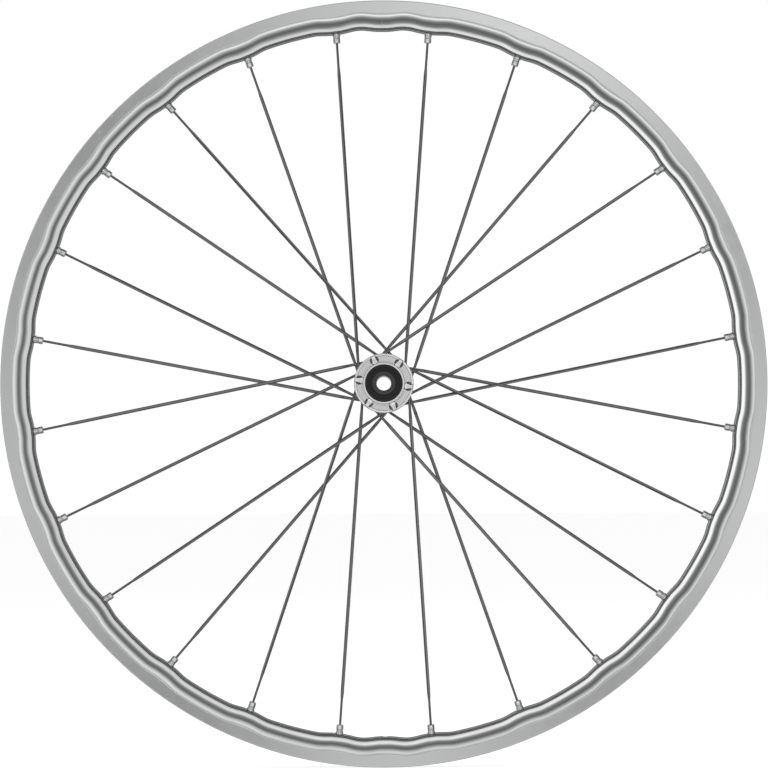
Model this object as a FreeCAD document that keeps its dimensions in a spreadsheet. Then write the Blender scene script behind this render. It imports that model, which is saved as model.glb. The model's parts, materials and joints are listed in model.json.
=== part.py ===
"""Front wheel of a road bicycle: 24 straight-pull bladed spokes, 12 x 100 mm through-axle hub.

Frame: origin at the wheel's centre, +Y along the spin axis towards the rider's left, +X forward,
+Z up. Angles round the wheel run clockwise from the top when looking along +Y, so a point at
angle a and radius r is at x = r sin a, z = r cos a. "right" parts lie at -Y and "left" parts at +Y.
"""
import FreeCAD, Part
import Sketcher
import math
import os
from types import SimpleNamespace

DRIVING_SIZES = {
    # rim: 622 mm bead seat, hollow section, rounded nose that is milled thinner between the spokes
    "rim_radius": 317.0,
    "rim_half_width": 10.8,
    "rim_edge_chamfer": 0.7,
    "bead_seat_radius": 311.0,
    "tyre_half_width": 8.5,
    "bead_ledge_half_width": 5.5,
    "well_floor_radius": 307.8,
    "well_half_width": 3.8,
    "sidewall_inner_radius": 307.8,
    "nose_tip_radius": 293.25,
    "nose_join_radius": 295.5,
    "nose_join_half_width": 5.75,
    "nose_round": 8.5,
    "shoulder_round": 30.7,
    "cavity_floor_radius": 306.3,
    "cavity_floor_half_width": 4.2,
    "cavity_ledge_radius": 309.6,
    "cavity_ledge_half_width": 6.2,
    "cavity_half_width": 9.47,
    "cavity_shoulder_radius": 308.0,
    "cavity_join_radius": 296.25,
    "cavity_join_half_width": 4.64,
    "cavity_round": 7.35,
    "cavity_shoulder_round": 29.35,
    # full-depth pads left by the milling at each spoke, at the joint and at the valve
    "pad_height": 1.65,
    "pad_round": 126.0,
    "pad_inner_round": 108.0,
    "pad_sweep": 22.0,
    "valve_hole_radius": 3.25,
    # spoke layout
    "spokes": 24,
    "spoke_reach_angle": 75.0,
    "rim_hole_radius": 291.0,
    "right_pocket_circle": 20.3,
    "right_pocket_angle": 37.5,
    "right_flange_centre": 35.0,
    "left_pocket_circle": 17.2,
    "left_pocket_angle": 22.5,
    "left_flange_centre": 23.0,
    "head_stagger": 1.3,
    # spoke
    "head_radius": 2.2,
    "head_thickness": 1.4,
    "head_seat": 3.1,
    "root_radius": 1.15,
    "root_length": 16.0,
    "taper_length": 9.0,
    "blade_half_width": 1.4,
    "blade_half_thickness": 0.45,
    "end_radius": 1.0,
    "round_end_length": 36.0,
    "end_past_rim_hole": 2.0,
    # nipple and its threaded insert, along the spoke from the rim hole's mouth
    "nipple_bore": 1.02,
    "nipple_shank": 2.25,
    "nipple_lip": 3.1,
    "nipple_lip_start": 6.6,
    "nipple_lip_end": 2.3,
    "nipple_head": 2.9,
    "nipple_head_length": 2.5,
    "insert_bore": 2.3,
    "insert_neck": 2.95,
    "insert_neck_start": 2.2,
    "insert_collar": 3.35,
    "insert_collar_start": 0.5,
    "insert_thread": 3.5,
    "insert_thread_start": 1.2,
    "insert_top": 5.5,
    "insert_hole": 3.52,
    # hub shell
    "shell_end": 43.0,
    "shell_nose": 17.4,
    "shell_nose_chamfer": 0.9,
    "right_flange_radius": 24.5,
    "right_flange_chamfer": 1.5,
    "right_flange_outer": 40.5,
    "right_flange_inner": 29.0,
    "right_cone_radius": 19.5,
    "right_cone_end": 22.0,
    "barrel_radius": 13.2,
    "left_flange_radius": 21.5,
    "left_flange_chamfer": 1.0,
    "left_flange_inner": 17.0,
    "left_flange_outer": 29.0,
    "collar_radius": 18.6,
    "collar_end": 33.0,
    "spline_radius": 17.2,
    "spline_depth": 0.9,
    "spline_gap": 1.4,
    "spline_teeth": 36,
    "shell_bore": 10.5,
    "pocket_radius": 3.2,
    "right_pocket_depth": 9.8,
    "left_pocket_depth": 10.2,
    "tunnel_radius": 1.45,
    "tunnel_length": 16.0,
    "head_bore": 2.3,
    # bearings, 15 x 28 x 7 mm
    "bearing_bore": 7.5,
    "bearing_outside": 14.0,
    "bearing_outer_face": 41.0,
    "bearing_inner_face": 34.0,
    "bearing_shoulder": 12.8,
    "bearing_shoulder_width": 1.0,
    "inner_land": 9.2,
    "outer_land": 12.4,
    "ball_circle": 10.8,
    "ball_radius": 1.97,
    "groove_radius": 2.03,
    "balls": 12,
    "cage_inside": 10.2,
    "cage_outside": 11.4,
    "cage_half_width": 2.4,
    "cage_pocket": 2.05,
    "seal_lip": 9.3,
    "seal_seat": 12.9,
    "seal_thickness": 0.5,
    # axle, dust covers and end caps
    "axle_bore": 6.05,
    "axle_end": 48.5,
    "axle_middle": 8.8,
    "dust_cover_outer": 43.8,
    "dust_cover_disc": 41.9,
    "right_dust_cover_radius": 15.1,
    "left_dust_cover_radius": 14.7,
    "right_cover_bore": 15.4,
    "left_cover_bore": 15.0,
    "cover_bore_on_axle": 7.51,
    "cover_step_radius": 11.6,
    "cover_step_depth": 0.5,
    "cap_end": 50.0,
    "cap_radius": 9.65,
    "cap_chamfer": 0.4,
    "cap_socket": 7.55,
    "cap_socket_end": 48.7,
    "o_ring_place": 46.0,
    "o_ring_circle": 7.98,
    "o_ring_cord": 0.43,
    "o_ring_groove": 8.45,
    "o_ring_groove_half": 0.55,
}

SIDES = {"right": -1, "left": 1}


class Size:
    """A number together with the sheet expression that gives it."""

    def __init__(self, value, text):
        self.value = value
        self.text = text

    def __add__(self, other):
        return Size(self.value + other.value, f"({self.text} + {other.text})")

    def __sub__(self, other):
        return Size(self.value - other.value, f"({self.text} - {other.text})")

    def __neg__(self):
        return Size(-self.value, f"(-1 * {self.text})")

    def toward(self, side):
        """The same distance from the centre plane, on the side given by -1 or 1."""
        return Size(side * self.value, f"({side} * {self.text})")

    def across(self, angle):
        """The X part of this radius at an angle round the wheel."""
        turn = math.radians(angle.value)
        return Size(self.value * math.sin(turn), f"({self.text} * sin({angle.text} * 1 deg))")

    def up(self, angle):
        """The Z part of this radius at an angle round the wheel."""
        turn = math.radians(angle.value)
        return Size(self.value * math.cos(turn), f"({self.text} * cos({angle.text} * 1 deg))")


def make_sheet(doc):
    """Write the driving sizes into the sheet and give them back as named Size values."""
    sheet = doc.addObject("Spreadsheet::Sheet", "Sizes")
    for row, (name, value) in enumerate(DRIVING_SIZES.items(), start=1):
        sheet.set(f"A{row}", name)
        sheet.set(f"B{row}", str(value))
        sheet.setAlias(f"B{row}", name)
    doc.recompute()
    sizes = {name: Size(value, f"Sizes.{name}") for name, value in DRIVING_SIZES.items()}
    return SimpleNamespace(**sizes)


doc = FreeCAD.newDocument("bicycle_front_wheel")
S = make_sheet(doc)


def bind(thing, **sizes):
    """Bind properties of a document object to sheet expressions."""
    for name, size in sizes.items():
        thing.setExpression(name, size.text)


def origin_feature(body, role):
    return next(feature for feature in body.Origin.OriginFeatures if feature.Role == role)


def new_sketch(body, name, plane="XY_Plane", offset=0.0):
    """A sketch on one of the body's own origin planes, moved along that plane's normal."""
    sketch = body.newObject("Sketcher::SketchObject", name)
    sketch.AttachmentSupport = [(origin_feature(body, plane), "")]
    sketch.MapMode = "FlatFace"
    sketch.AttachmentOffset = FreeCAD.Placement(FreeCAD.Vector(0, 0, offset), FreeCAD.Rotation())
    return sketch


def arc_between(start, end, radius, centre_on_left):
    """The short arc from start to end, as counter-clockwise geometry."""
    middle = (start + end) * 0.5
    chord = end - start
    left = FreeCAD.Vector(-chord.y, chord.x, 0).normalize()
    sag = math.sqrt(radius ** 2 - (chord.Length / 2) ** 2)
    centre = middle + left * (sag if centre_on_left else -sag)
    first, last = (start, end) if centre_on_left else (end, start)
    circle = Part.Circle(centre, FreeCAD.Vector(0, 0, 1), radius)
    return Part.ArcOfCircle(
        circle,
        math.atan2(first.y - centre.y, first.x - centre.x),
        math.atan2(last.y - centre.y, last.x - centre.x),
    )


def pin_point(sketch, edge, end, place):
    """Hold one end of an edge at a bound place."""
    for kind, size in zip(("DistanceX", "DistanceY"), place):
        number = sketch.addConstraint(Sketcher.Constraint(kind, -1, 1, edge, end, size.value))
        sketch.setExpression(f"Constraints[{number}]", size.text)


def draw_outline(sketch, corners, arcs=None):
    """A closed outline through bound corners. arcs: edge number -> (radius, centre on the left)."""
    arcs = arcs or {}
    ends = []
    for number, corner in enumerate(corners):
        following = corners[(number + 1) % len(corners)]
        start = FreeCAD.Vector(corner[0].value, corner[1].value, 0)
        end = FreeCAD.Vector(following[0].value, following[1].value, 0)
        if number in arcs:
            radius, centre_on_left = arcs[number]
            sketch.addGeometry(arc_between(start, end, radius.value, centre_on_left), False)
            ends.append((1, 2) if centre_on_left else (2, 1))
        else:
            sketch.addGeometry(Part.LineSegment(start, end), False)
            ends.append((1, 2))
    for number, corner in enumerate(corners):
        following = (number + 1) % len(corners)
        sketch.addConstraint(
            Sketcher.Constraint("Coincident", number, ends[number][1], following, ends[following][0])
        )
        pin_point(sketch, number, ends[number][0], corner)
    for number, (radius, _) in arcs.items():
        bent = sketch.addConstraint(Sketcher.Constraint("Radius", number, radius.value))
        sketch.setExpression(f"Constraints[{bent}]", radius.text)


def draw_circle(sketch, centre, radius):
    """A bound circle."""
    middle = FreeCAD.Vector(centre[0].value, centre[1].value, 0)
    circle = sketch.addGeometry(Part.Circle(middle, FreeCAD.Vector(0, 0, 1), radius.value), False)
    pin_point(sketch, circle, 3, centre)
    bent = sketch.addConstraint(Sketcher.Constraint("Radius", circle, radius.value))
    sketch.setExpression(f"Constraints[{bent}]", radius.text)


def turned(name, corners, arcs=None, plane="XY_Plane", sweep=None):
    """A body turned about the sketch's vertical axis from an outline of (radius, height) corners."""
    body = doc.addObject("PartDesign::Body", name)
    sketch = new_sketch(body, name + "_outline", plane)
    draw_outline(sketch, corners, arcs)
    turning = body.newObject("PartDesign::Revolution", name + "_turning")
    turning.Profile = sketch
    turning.ReferenceAxis = (sketch, ["V_Axis"])
    turning.Angle = 360
    if sweep is not None:
        bind(turning, Angle=sweep)
    sketch.Visibility = False
    return body


def cut_pattern(body, sketch, depth, count, name):
    """Pocket a sketch into the body and repeat it evenly round the Y axis."""
    doc.recompute()
    before = body.Shape.Volume
    pocket = body.newObject("PartDesign::Pocket", name)
    pocket.Profile = sketch
    pocket.Type = "Length"
    bind(pocket, Length=depth)
    pattern = body.newObject("PartDesign::PolarPattern", name + "_pattern")
    pattern.Originals = [pocket]
    pattern.Axis = (origin_feature(body, "Y_Axis"), [""])
    pattern.Angle = 360
    bind(pattern, Occurrences=count)
    body.Tip = pattern
    doc.recompute()
    if body.Shape.Volume > before - 1.0:
        raise RuntimeError(name + " cut nothing")


def rod(name, radius, length):
    """A plain cylinder along its own Z axis."""
    cylinder = doc.addObject("Part::Cylinder", name)
    bind(cylinder, Radius=radius, Height=length)
    return cylinder


def placed(name, form, placement):
    """One more copy of a form, at its own place."""
    copy = doc.addObject("Part::Compound", name)
    copy.Links = [form]
    copy.Placement = placement
    return copy


def together(name, members):
    """Several separate solids under one name."""
    group = doc.addObject("Part::Compound", name)
    group.Links = members
    return group


def cut_away(name, base, tool):
    cut = doc.addObject("Part::Cut", name)
    cut.Base = base
    cut.Tool = tool
    return cut


def joined(name, members):
    fuse = doc.addObject("Part::MultiFuse", name)
    fuse.Shapes = members
    fuse.Refine = True
    return fuse


def about_axle(angle):
    """A turn about the spin axis that moves the top of the wheel clockwise by an angle."""
    return FreeCAD.Rotation(FreeCAD.Vector(0, 1, 0), angle)


def wheel_point(radius, angle, y):
    turn = math.radians(angle)
    return FreeCAD.Vector(radius * math.sin(turn), y, radius * math.cos(turn))


# ---------------------------------------------------------------- spoke layout


def hole_angle(number):
    """The angle of a spoke's hole round the rim."""
    return (number - 1.5) * 360.0 / S.spokes.value


def spoke_line(number):
    """Where spoke number 1 to 24 starts in its flange pocket and which way it runs to the rim.

    Odd spokes go to the right flange and even ones to the left. Two spokes share each pocket,
    one led forwards round the wheel by spoke_reach_angle and one backwards.
    """
    on_right = number % 2 == 1
    forwards = number % 4 in (0, 1)
    turn = -S.spoke_reach_angle.value if forwards else S.spoke_reach_angle.value
    circle = S.right_pocket_circle if on_right else S.left_pocket_circle
    flange = S.right_flange_centre if on_right else S.left_flange_centre
    side = SIDES["right"] if on_right else SIDES["left"]
    stagger = S.head_stagger.value if forwards else -S.head_stagger.value
    pocket = wheel_point(circle.value, hole_angle(number) + turn, side * (flange.value + stagger))
    hole = wheel_point(S.rim_hole_radius.value, hole_angle(number), 0.0)
    return pocket, hole


def along_spoke(number, distance_from_pocket=None):
    """Placement whose Z axis runs out along a spoke and whose Y axis stays near the spin axis.

    It starts at a distance from the pocket's centre or, with none given, at the rim hole.
    """
    pocket, hole = spoke_line(number)
    outward = (hole - pocket).normalize()
    across = FreeCAD.Vector(0, 1, 0).cross(outward).normalize()
    start = hole if distance_from_pocket is None else pocket + outward * distance_from_pocket
    turn = FreeCAD.Rotation(across, outward.cross(across), outward)
    return FreeCAD.Placement(start, turn)


def spoke_numbers():
    return range(1, int(S.spokes.value) + 1)


# ---------------------------------------------------------------- rim


def nose_outline(join, corner, ends):
    """Corners of a nose section that points to the hub, mirrored about the centre plane.

    join and corner are the (radius, half width) where its arcs meet, and ends is the list of
    places, from the middle outwards, that closes the section on its outer side.
    """
    mirrored = [(radius, -half) for radius, half in ends]
    return [(corner[0], -corner[1]), (join[0], -join[1]), join, corner] + list(reversed(ends)) + mirrored


def make_rim_blank():
    """The whole section with the milled nose, before hollowing."""
    edge = S.rim_radius - S.rim_edge_chamfer
    shoulder = S.rim_half_width - S.rim_edge_chamfer
    corners = nose_outline(
        join=(S.nose_join_radius, S.nose_join_half_width),
        corner=(S.sidewall_inner_radius, S.rim_half_width),
        ends=[(S.rim_radius, shoulder), (edge, S.rim_half_width)],
    )
    arcs = {
        0: (S.shoulder_round, False),
        1: (S.nose_round, False),
        2: (S.shoulder_round, False),
    }
    return turned("rim_blank", corners, arcs)


def make_rim_pads():
    """The nose at its full depth, bowed towards the hub, at every spoke, the joint and the valve."""
    tip_to_join = S.nose_join_radius - S.nose_tip_radius
    tip_to_corner = S.sidewall_inner_radius - S.nose_tip_radius
    join = S.pad_round - tip_to_join
    corner = S.pad_round - tip_to_corner
    corners = [
        (corner, -S.rim_half_width),
        (join, -S.nose_join_half_width),
        (join, S.nose_join_half_width),
        (corner, S.rim_half_width),
        (S.pad_inner_round, S.rim_half_width),
        (S.pad_inner_round, -S.rim_half_width),
    ]
    arcs = {
        0: (S.shoulder_round, True),
        1: (S.nose_round, True),
        2: (S.shoulder_round, True),
    }
    form = turned("rim_pad_form", corners, arcs, sweep=S.pad_sweep)
    pads = []
    axis_radius = S.nose_tip_radius.value - S.pad_height.value + S.pad_round.value
    angles = [hole_angle(number) for number in spoke_numbers()] + [0.0, 180.0]
    for count, angle in enumerate(angles, start=1):
        # the form starts at +X and turns about +Y, so half its sweep centres it
        turn = about_axle(angle + 90.0 - S.pad_sweep.value / 2)
        place = FreeCAD.Placement(wheel_point(axis_radius, angle, 0.0), turn)
        pads.append(placed(f"rim_pad_{count:02d}", form, place))
    return pads


def make_tyre_channel():
    """What is turned out of the rim's outside for the tyre."""
    rim_top = S.rim_radius + S.rim_edge_chamfer
    half = [
        (rim_top, S.tyre_half_width),
        (S.bead_seat_radius, S.tyre_half_width),
        (S.bead_seat_radius, S.bead_ledge_half_width),
        (S.well_floor_radius, S.well_half_width),
    ]
    corners = half + [(radius, -width) for radius, width in reversed(half)]
    return turned("tyre_channel", corners)


def make_rim_cavity():
    """The sealed hollow inside the box section, one wall inside the nose and the tyre well."""
    corners = nose_outline(
        join=(S.cavity_join_radius, S.cavity_join_half_width),
        corner=(S.cavity_shoulder_radius, S.cavity_half_width),
        ends=[
            (S.cavity_floor_radius, S.cavity_floor_half_width),
            (S.cavity_ledge_radius, S.cavity_ledge_half_width),
            (S.cavity_ledge_radius, S.cavity_half_width),
        ],
    )
    arcs = {
        0: (S.cavity_shoulder_round, False),
        1: (S.cavity_round, False),
        2: (S.cavity_shoulder_round, False),
    }
    return turned("rim_cavity", corners, arcs)


def make_rim():
    blank = joined("rim_solid", [make_rim_blank()] + make_rim_pads())
    insert_hole = rod("insert_hole_form", S.insert_hole, S.insert_top + S.insert_top)
    cutters = [make_tyre_channel(), make_rim_cavity()]
    for number in spoke_numbers():
        start = along_spoke(number)
        start.Base -= start.Rotation.multVec(FreeCAD.Vector(0, 0, S.insert_top.value))
        cutters.append(placed(f"insert_hole_{number:02d}", insert_hole, start))
    valve_hole = rod("valve_hole", S.valve_hole_radius, S.rim_radius - S.nose_tip_radius + S.insert_top)
    valve_hole.Placement.Base = FreeCAD.Vector(0, 0, -S.rim_radius.value)
    cutters.append(valve_hole)
    return cut_away("rim", blank, together("rim_cutters", cutters))


# ---------------------------------------------------------------- spokes, nipples and inserts


def make_spoke_form(name, length):
    """Head, round root, long flat blade and round threaded end, along Z from the head's seat."""
    head = rod(name + "_head", S.head_radius, S.head_thickness)
    bind(head, **{".Placement.Base.z": -S.head_thickness})
    blade_start = S.root_length + S.taper_length
    blade_end = length - S.round_end_length
    stations = [
        (None, S.root_radius, S.root_radius),
        (S.root_length, S.root_radius, S.root_radius),
        (blade_start, S.blade_half_width, S.blade_half_thickness),
        (blade_end, S.blade_half_width, S.blade_half_thickness),
        (blade_end + S.taper_length, S.end_radius, S.end_radius),
        (length, S.end_radius, S.end_radius),
    ]
    sections = []
    for count, (place, half_width, half_thickness) in enumerate(stations, start=1):
        section = doc.addObject("Part::Ellipse", f"{name}_section_{count}")
        bind(section, MajorRadius=half_width, MinorRadius=half_thickness)
        if place is not None:
            bind(section, **{".Placement.Base.z": place})
        sections.append(section)
    shaft = doc.addObject("Part::Loft", name + "_shaft")
    shaft.Sections = sections
    shaft.Solid = True
    shaft.Ruled = True
    return joined(name, [head, shaft])


def spoke_length(number):
    """From the head's seat to the threaded end inside the nipple."""
    pocket, hole = spoke_line(number)
    length = (hole - pocket).Length - S.head_seat.value + S.end_past_rim_hole.value
    return Size(length, repr(length))


def make_spokes():
    forms = {
        0: make_spoke_form("left_spoke_form", spoke_length(2)),
        1: make_spoke_form("right_spoke_form", spoke_length(1)),
    }
    return [
        placed(f"spoke_{number:02d}", forms[number % 2], along_spoke(number, S.head_seat.value))
        for number in spoke_numbers()
    ]


def make_nipples():
    corners = [
        (S.nipple_bore, -S.nipple_lip_start),
        (S.nipple_lip, -S.nipple_lip_start),
        (S.nipple_lip, -S.nipple_lip_end),
        (S.nipple_shank, -S.nipple_lip_end),
        (S.nipple_shank, S.insert_top),
        (S.nipple_head, S.insert_top),
        (S.nipple_head, S.insert_top + S.nipple_head_length),
        (S.nipple_bore, S.insert_top + S.nipple_head_length),
    ]
    form = turned("nipple_form", corners, plane="XZ_Plane")
    members = [placed(f"nipple_{number:02d}", form, along_spoke(number)) for number in spoke_numbers()]
    return together("nipples", members)


def make_rim_inserts():
    corners = [
        (S.insert_bore, -S.insert_neck_start),
        (S.insert_neck, -S.insert_neck_start),
        (S.insert_neck, -S.insert_collar_start),
        (S.insert_collar, -S.insert_collar_start),
        (S.insert_collar, S.insert_thread_start),
        (S.insert_thread, S.insert_thread_start),
        (S.insert_thread, S.insert_top),
        (S.insert_bore, S.insert_top),
    ]
    form = turned("rim_insert_form", corners, plane="XZ_Plane")
    members = [placed(f"insert_{number:02d}", form, along_spoke(number)) for number in spoke_numbers()]
    return together("rim_inserts", members)


# ---------------------------------------------------------------- hub shell


def shell_outline():
    """Round the shell's section: outside from right to left, then back through the bore."""
    right_face = -S.shell_end
    flange_chamfer = S.right_flange_chamfer
    left_chamfer = S.left_flange_chamfer
    step = S.bearing_shoulder - S.shell_bore
    seat_in = S.bearing_inner_face
    land_in = seat_in - S.bearing_shoulder_width
    bore_in = land_in - step
    return [
        (S.right_cover_bore, right_face),
        (S.shell_nose - S.shell_nose_chamfer, right_face),
        (S.shell_nose, right_face + S.shell_nose_chamfer),
        (S.shell_nose, -S.right_flange_outer),
        (S.right_flange_radius - flange_chamfer, -S.right_flange_outer),
        (S.right_flange_radius, flange_chamfer - S.right_flange_outer),
        (S.right_flange_radius, -(S.right_flange_inner + flange_chamfer)),
        (S.right_flange_radius - flange_chamfer, -S.right_flange_inner),
        (S.right_cone_radius, -S.right_flange_inner),
        (S.barrel_radius, -S.right_cone_end),
        (S.barrel_radius, S.left_flange_inner),
        (S.left_flange_radius - left_chamfer, S.left_flange_inner),
        (S.left_flange_radius, S.left_flange_inner + left_chamfer),
        (S.left_flange_radius, S.left_flange_outer - left_chamfer),
        (S.left_flange_radius - left_chamfer, S.left_flange_outer),
        (S.collar_radius, S.left_flange_outer),
        (S.collar_radius, S.collar_end),
        (S.spline_radius, S.collar_end),
        (S.spline_radius, S.shell_end - S.shell_nose_chamfer),
        (S.spline_radius - S.shell_nose_chamfer, S.shell_end),
        (S.left_cover_bore, S.shell_end),
        (S.left_cover_bore, S.bearing_outer_face),
        (S.bearing_outside, S.bearing_outer_face),
        (S.bearing_outside, seat_in),
        (S.bearing_shoulder, seat_in),
        (S.bearing_shoulder, land_in),
        (S.shell_bore, bore_in),
        (S.shell_bore, -bore_in),
        (S.bearing_shoulder, -land_in),
        (S.bearing_shoulder, -seat_in),
        (S.bearing_outside, -seat_in),
        (S.bearing_outside, -S.bearing_outer_face),
        (S.right_cover_bore, -S.bearing_outer_face),
    ]


def make_shell_blank():
    """Turned shell with the spoke-head pockets and the disc splines. XZ sketches face -Y."""
    body = turned("hub_shell_blank", shell_outline())
    right = new_sketch(body, "right_pocket_circle_sketch", "XZ_Plane", S.right_flange_outer.value)
    circle, angle = S.right_pocket_circle, S.right_pocket_angle
    draw_circle(right, (circle.across(angle), circle.up(angle)), S.pocket_radius)
    pockets = Size(S.spokes.value / 4, "Sizes.spokes / 4")
    cut_pattern(body, right, S.right_pocket_depth, pockets, "right_pockets")
    left = new_sketch(body, "left_pocket_circle_sketch", "XZ_Plane", -S.left_flange_inner.value)
    circle, angle = S.left_pocket_circle, S.left_pocket_angle
    draw_circle(left, (circle.across(angle), circle.up(angle)), S.pocket_radius)
    cut_pattern(body, left, S.left_pocket_depth, pockets, "left_pockets")
    groove = new_sketch(body, "spline_gap_sketch", "XZ_Plane", -S.collar_end.value)
    half_gap = Size(S.spline_gap.value / 2, "(Sizes.spline_gap / 2)")
    floor = S.spline_radius - S.spline_depth
    top = S.spline_radius + S.spline_depth
    draw_outline(groove, [(-half_gap, floor), (half_gap, floor), (half_gap, top), (-half_gap, top)])
    cut_pattern(body, groove, S.shell_end - S.collar_end, S.spline_teeth, "splines")
    return body


def make_hub_shell():
    """The shell with a way for each spoke: a bore for its head, then a tunnel out of the flange."""
    tunnel = rod("spoke_tunnel_form", S.tunnel_radius, S.tunnel_length)
    head_bore = rod("head_bore_form", S.head_bore, S.head_seat)
    ways = []
    for number in spoke_numbers():
        start = along_spoke(number, 0.0)
        ways.append(placed(f"spoke_tunnel_{number:02d}", tunnel, start))
        ways.append(placed(f"head_bore_{number:02d}", head_bore, start))
    return cut_away("hub_shell", make_shell_blank(), together("spoke_ways", ways))


# ---------------------------------------------------------------- bearings


def bearing_middle(side):
    centre = (S.bearing_outer_face.value + S.bearing_inner_face.value) / 2
    return FreeCAD.Placement(FreeCAD.Vector(0, side * centre, 0), FreeCAD.Rotation())


def bearing_half_width():
    width = S.bearing_outer_face - S.bearing_inner_face
    return Size(width.value / 2, f"({width.text} / 2)")


def groove_ring(name):
    """The ring of round section that forms a bearing's two grooves."""
    torus = doc.addObject("Part::Torus", name)
    bind(torus, Radius1=S.ball_circle, Radius2=S.groove_radius)
    torus.Placement = FreeCAD.Placement(FreeCAD.Vector(), FreeCAD.Rotation(FreeCAD.Vector(1, 0, 0), 90))
    return torus


def plain_ring(name, inside, outside, low, high):
    """A turned ring of rectangular section."""
    return turned(name, [(inside, low), (outside, low), (outside, high), (inside, high)])


def outer_race_outline():
    """Outer race with a seat for each seal beside its groove."""
    half = bearing_half_width()
    lip = half - S.seal_thickness
    return [
        (S.seal_seat, -half),
        (S.bearing_outside, -half),
        (S.bearing_outside, half),
        (S.seal_seat, half),
        (S.seal_seat, lip),
        (S.outer_land, lip),
        (S.outer_land, -lip),
        (S.seal_seat, -lip),
    ]


def ball_ring(name, form, start_radius):
    """Copies of a form for every ball, each with its Z axis along its own radius of the bearing."""
    count = int(S.balls.value)
    members = []
    for number in range(count):
        angle = 360.0 * number / count
        place = FreeCAD.Placement(wheel_point(start_radius.value, angle, 0.0), about_axle(angle))
        members.append(placed(f"{name}_{number + 1:02d}", form, place))
    return together(name, members)


def make_balls(name):
    ball = doc.addObject("Part::Sphere", name + "_form")
    bind(ball, Radius=S.ball_radius)
    return ball_ring(name, ball, S.ball_circle)


def make_cage(name):
    """Ball cage: a ring with a round window for every ball."""
    half = S.cage_half_width
    ring = plain_ring(name + "_ring", S.cage_inside, S.cage_outside, -half, half)
    window = rod(name + "_window_form", S.cage_pocket, S.outer_land - S.inner_land)
    return cut_away(name, ring, ball_ring(name + "_windows", window, S.inner_land))


def make_bearing(side_name):
    """The pieces of one sealed bearing, centred on the bearing's own middle plane."""
    side = SIDES[side_name]
    prefix = side_name + "_bearing"
    half = bearing_half_width()
    inner_blank = plain_ring(prefix + "_inner_blank", S.bearing_bore, S.inner_land, -half, half)
    outer_blank = turned(prefix + "_outer_blank", outer_race_outline())
    inner = cut_away(prefix + "_inner_race", inner_blank, groove_ring(prefix + "_inner_groove"))
    outer = cut_away(prefix + "_outer_race", outer_blank, groove_ring(prefix + "_outer_groove"))
    lip = half - S.seal_thickness
    right_seal = plain_ring(prefix + "_right_seal", S.seal_lip, S.seal_seat, -half, -lip)
    left_seal = plain_ring(prefix + "_left_seal", S.seal_lip, S.seal_seat, lip, half)
    outside, inside = (right_seal, left_seal) if side < 0 else (left_seal, right_seal)
    outside.Label = prefix + "_outer_seal"
    inside.Label = prefix + "_inner_seal"
    pieces = [inner, outer, make_balls(prefix + "_balls"), make_cage(prefix + "_cage"), outside, inside]
    for piece in pieces:
        piece.Placement = bearing_middle(side)
    return pieces


# ---------------------------------------------------------------- axle, covers and caps


def make_axle():
    """Tube on which the inner races sit, thicker between the bearings to space them."""
    corners = [
        (S.axle_bore, -S.axle_end),
        (S.bearing_bore, -S.axle_end),
        (S.bearing_bore, -S.bearing_inner_face),
        (S.axle_middle, -S.bearing_inner_face),
        (S.axle_middle, S.bearing_inner_face),
        (S.bearing_bore, S.bearing_inner_face),
        (S.bearing_bore, S.axle_end),
        (S.axle_bore, S.axle_end),
    ]
    return turned("axle", corners)


def make_dust_cover(side_name):
    """Disc in the shell's mouth with a short sleeve that stands on the inner race."""
    side = SIDES[side_name]
    radius = S.right_dust_cover_radius if side < 0 else S.left_dust_cover_radius
    step = S.dust_cover_outer - S.cover_step_depth
    corners = [
        (S.cover_bore_on_axle, S.dust_cover_outer.toward(side)),
        (S.cover_step_radius, S.dust_cover_outer.toward(side)),
        (S.cover_step_radius, step.toward(side)),
        (radius, step.toward(side)),
        (radius, S.dust_cover_disc.toward(side)),
        (S.inner_land, S.dust_cover_disc.toward(side)),
        (S.inner_land, S.bearing_outer_face.toward(side)),
        (S.cover_bore_on_axle, S.bearing_outer_face.toward(side)),
    ]
    return turned(side_name + "_dust_cover", corners)


def make_end_cap(side_name):
    """Cap that pushes over the axle's end and carries the fork; its O-ring sits in a groove."""
    side = SIDES[side_name]
    groove_out = (S.o_ring_place + S.o_ring_groove_half).toward(side)
    groove_in = (S.o_ring_place - S.o_ring_groove_half).toward(side)
    corners = [
        (S.axle_bore, S.cap_end.toward(side)),
        (S.cap_radius - S.cap_chamfer, S.cap_end.toward(side)),
        (S.cap_radius, (S.cap_end - S.cap_chamfer).toward(side)),
        (S.cap_radius, S.dust_cover_outer.toward(side)),
        (S.cap_socket, S.dust_cover_outer.toward(side)),
        (S.cap_socket, groove_in),
        (S.o_ring_groove, groove_in),
        (S.o_ring_groove, groove_out),
        (S.cap_socket, groove_out),
        (S.cap_socket, S.cap_socket_end.toward(side)),
        (S.axle_bore, S.cap_socket_end.toward(side)),
    ]
    return turned(side_name + "_end_cap", corners)


def make_o_ring(side_name):
    side = SIDES[side_name]
    ring = doc.addObject("Part::Torus", side_name + "_cap_o_ring")
    bind(ring, Radius1=S.o_ring_circle, Radius2=S.o_ring_cord)
    ring.Placement = FreeCAD.Placement(
        FreeCAD.Vector(0, side * S.o_ring_place.value, 0), FreeCAD.Rotation(FreeCAD.Vector(1, 0, 0), 90)
    )
    return ring


# ---------------------------------------------------------------- the whole wheel


def make_wheel():
    parts = [make_rim(), make_rim_inserts(), make_nipples(), make_hub_shell(), make_axle()]
    parts += make_spokes()
    for side_name in SIDES:
        parts += make_bearing(side_name)
        parts += [make_dust_cover(side_name), make_end_cap(side_name), make_o_ring(side_name)]
    return parts


def check_document():
    """Stop if any object failed to build."""
    for thing in doc.Objects:
        if "Invalid" in thing.State or "Error" in thing.State:
            raise RuntimeError(f"{thing.Label} did not build: {thing.State}")


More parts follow.
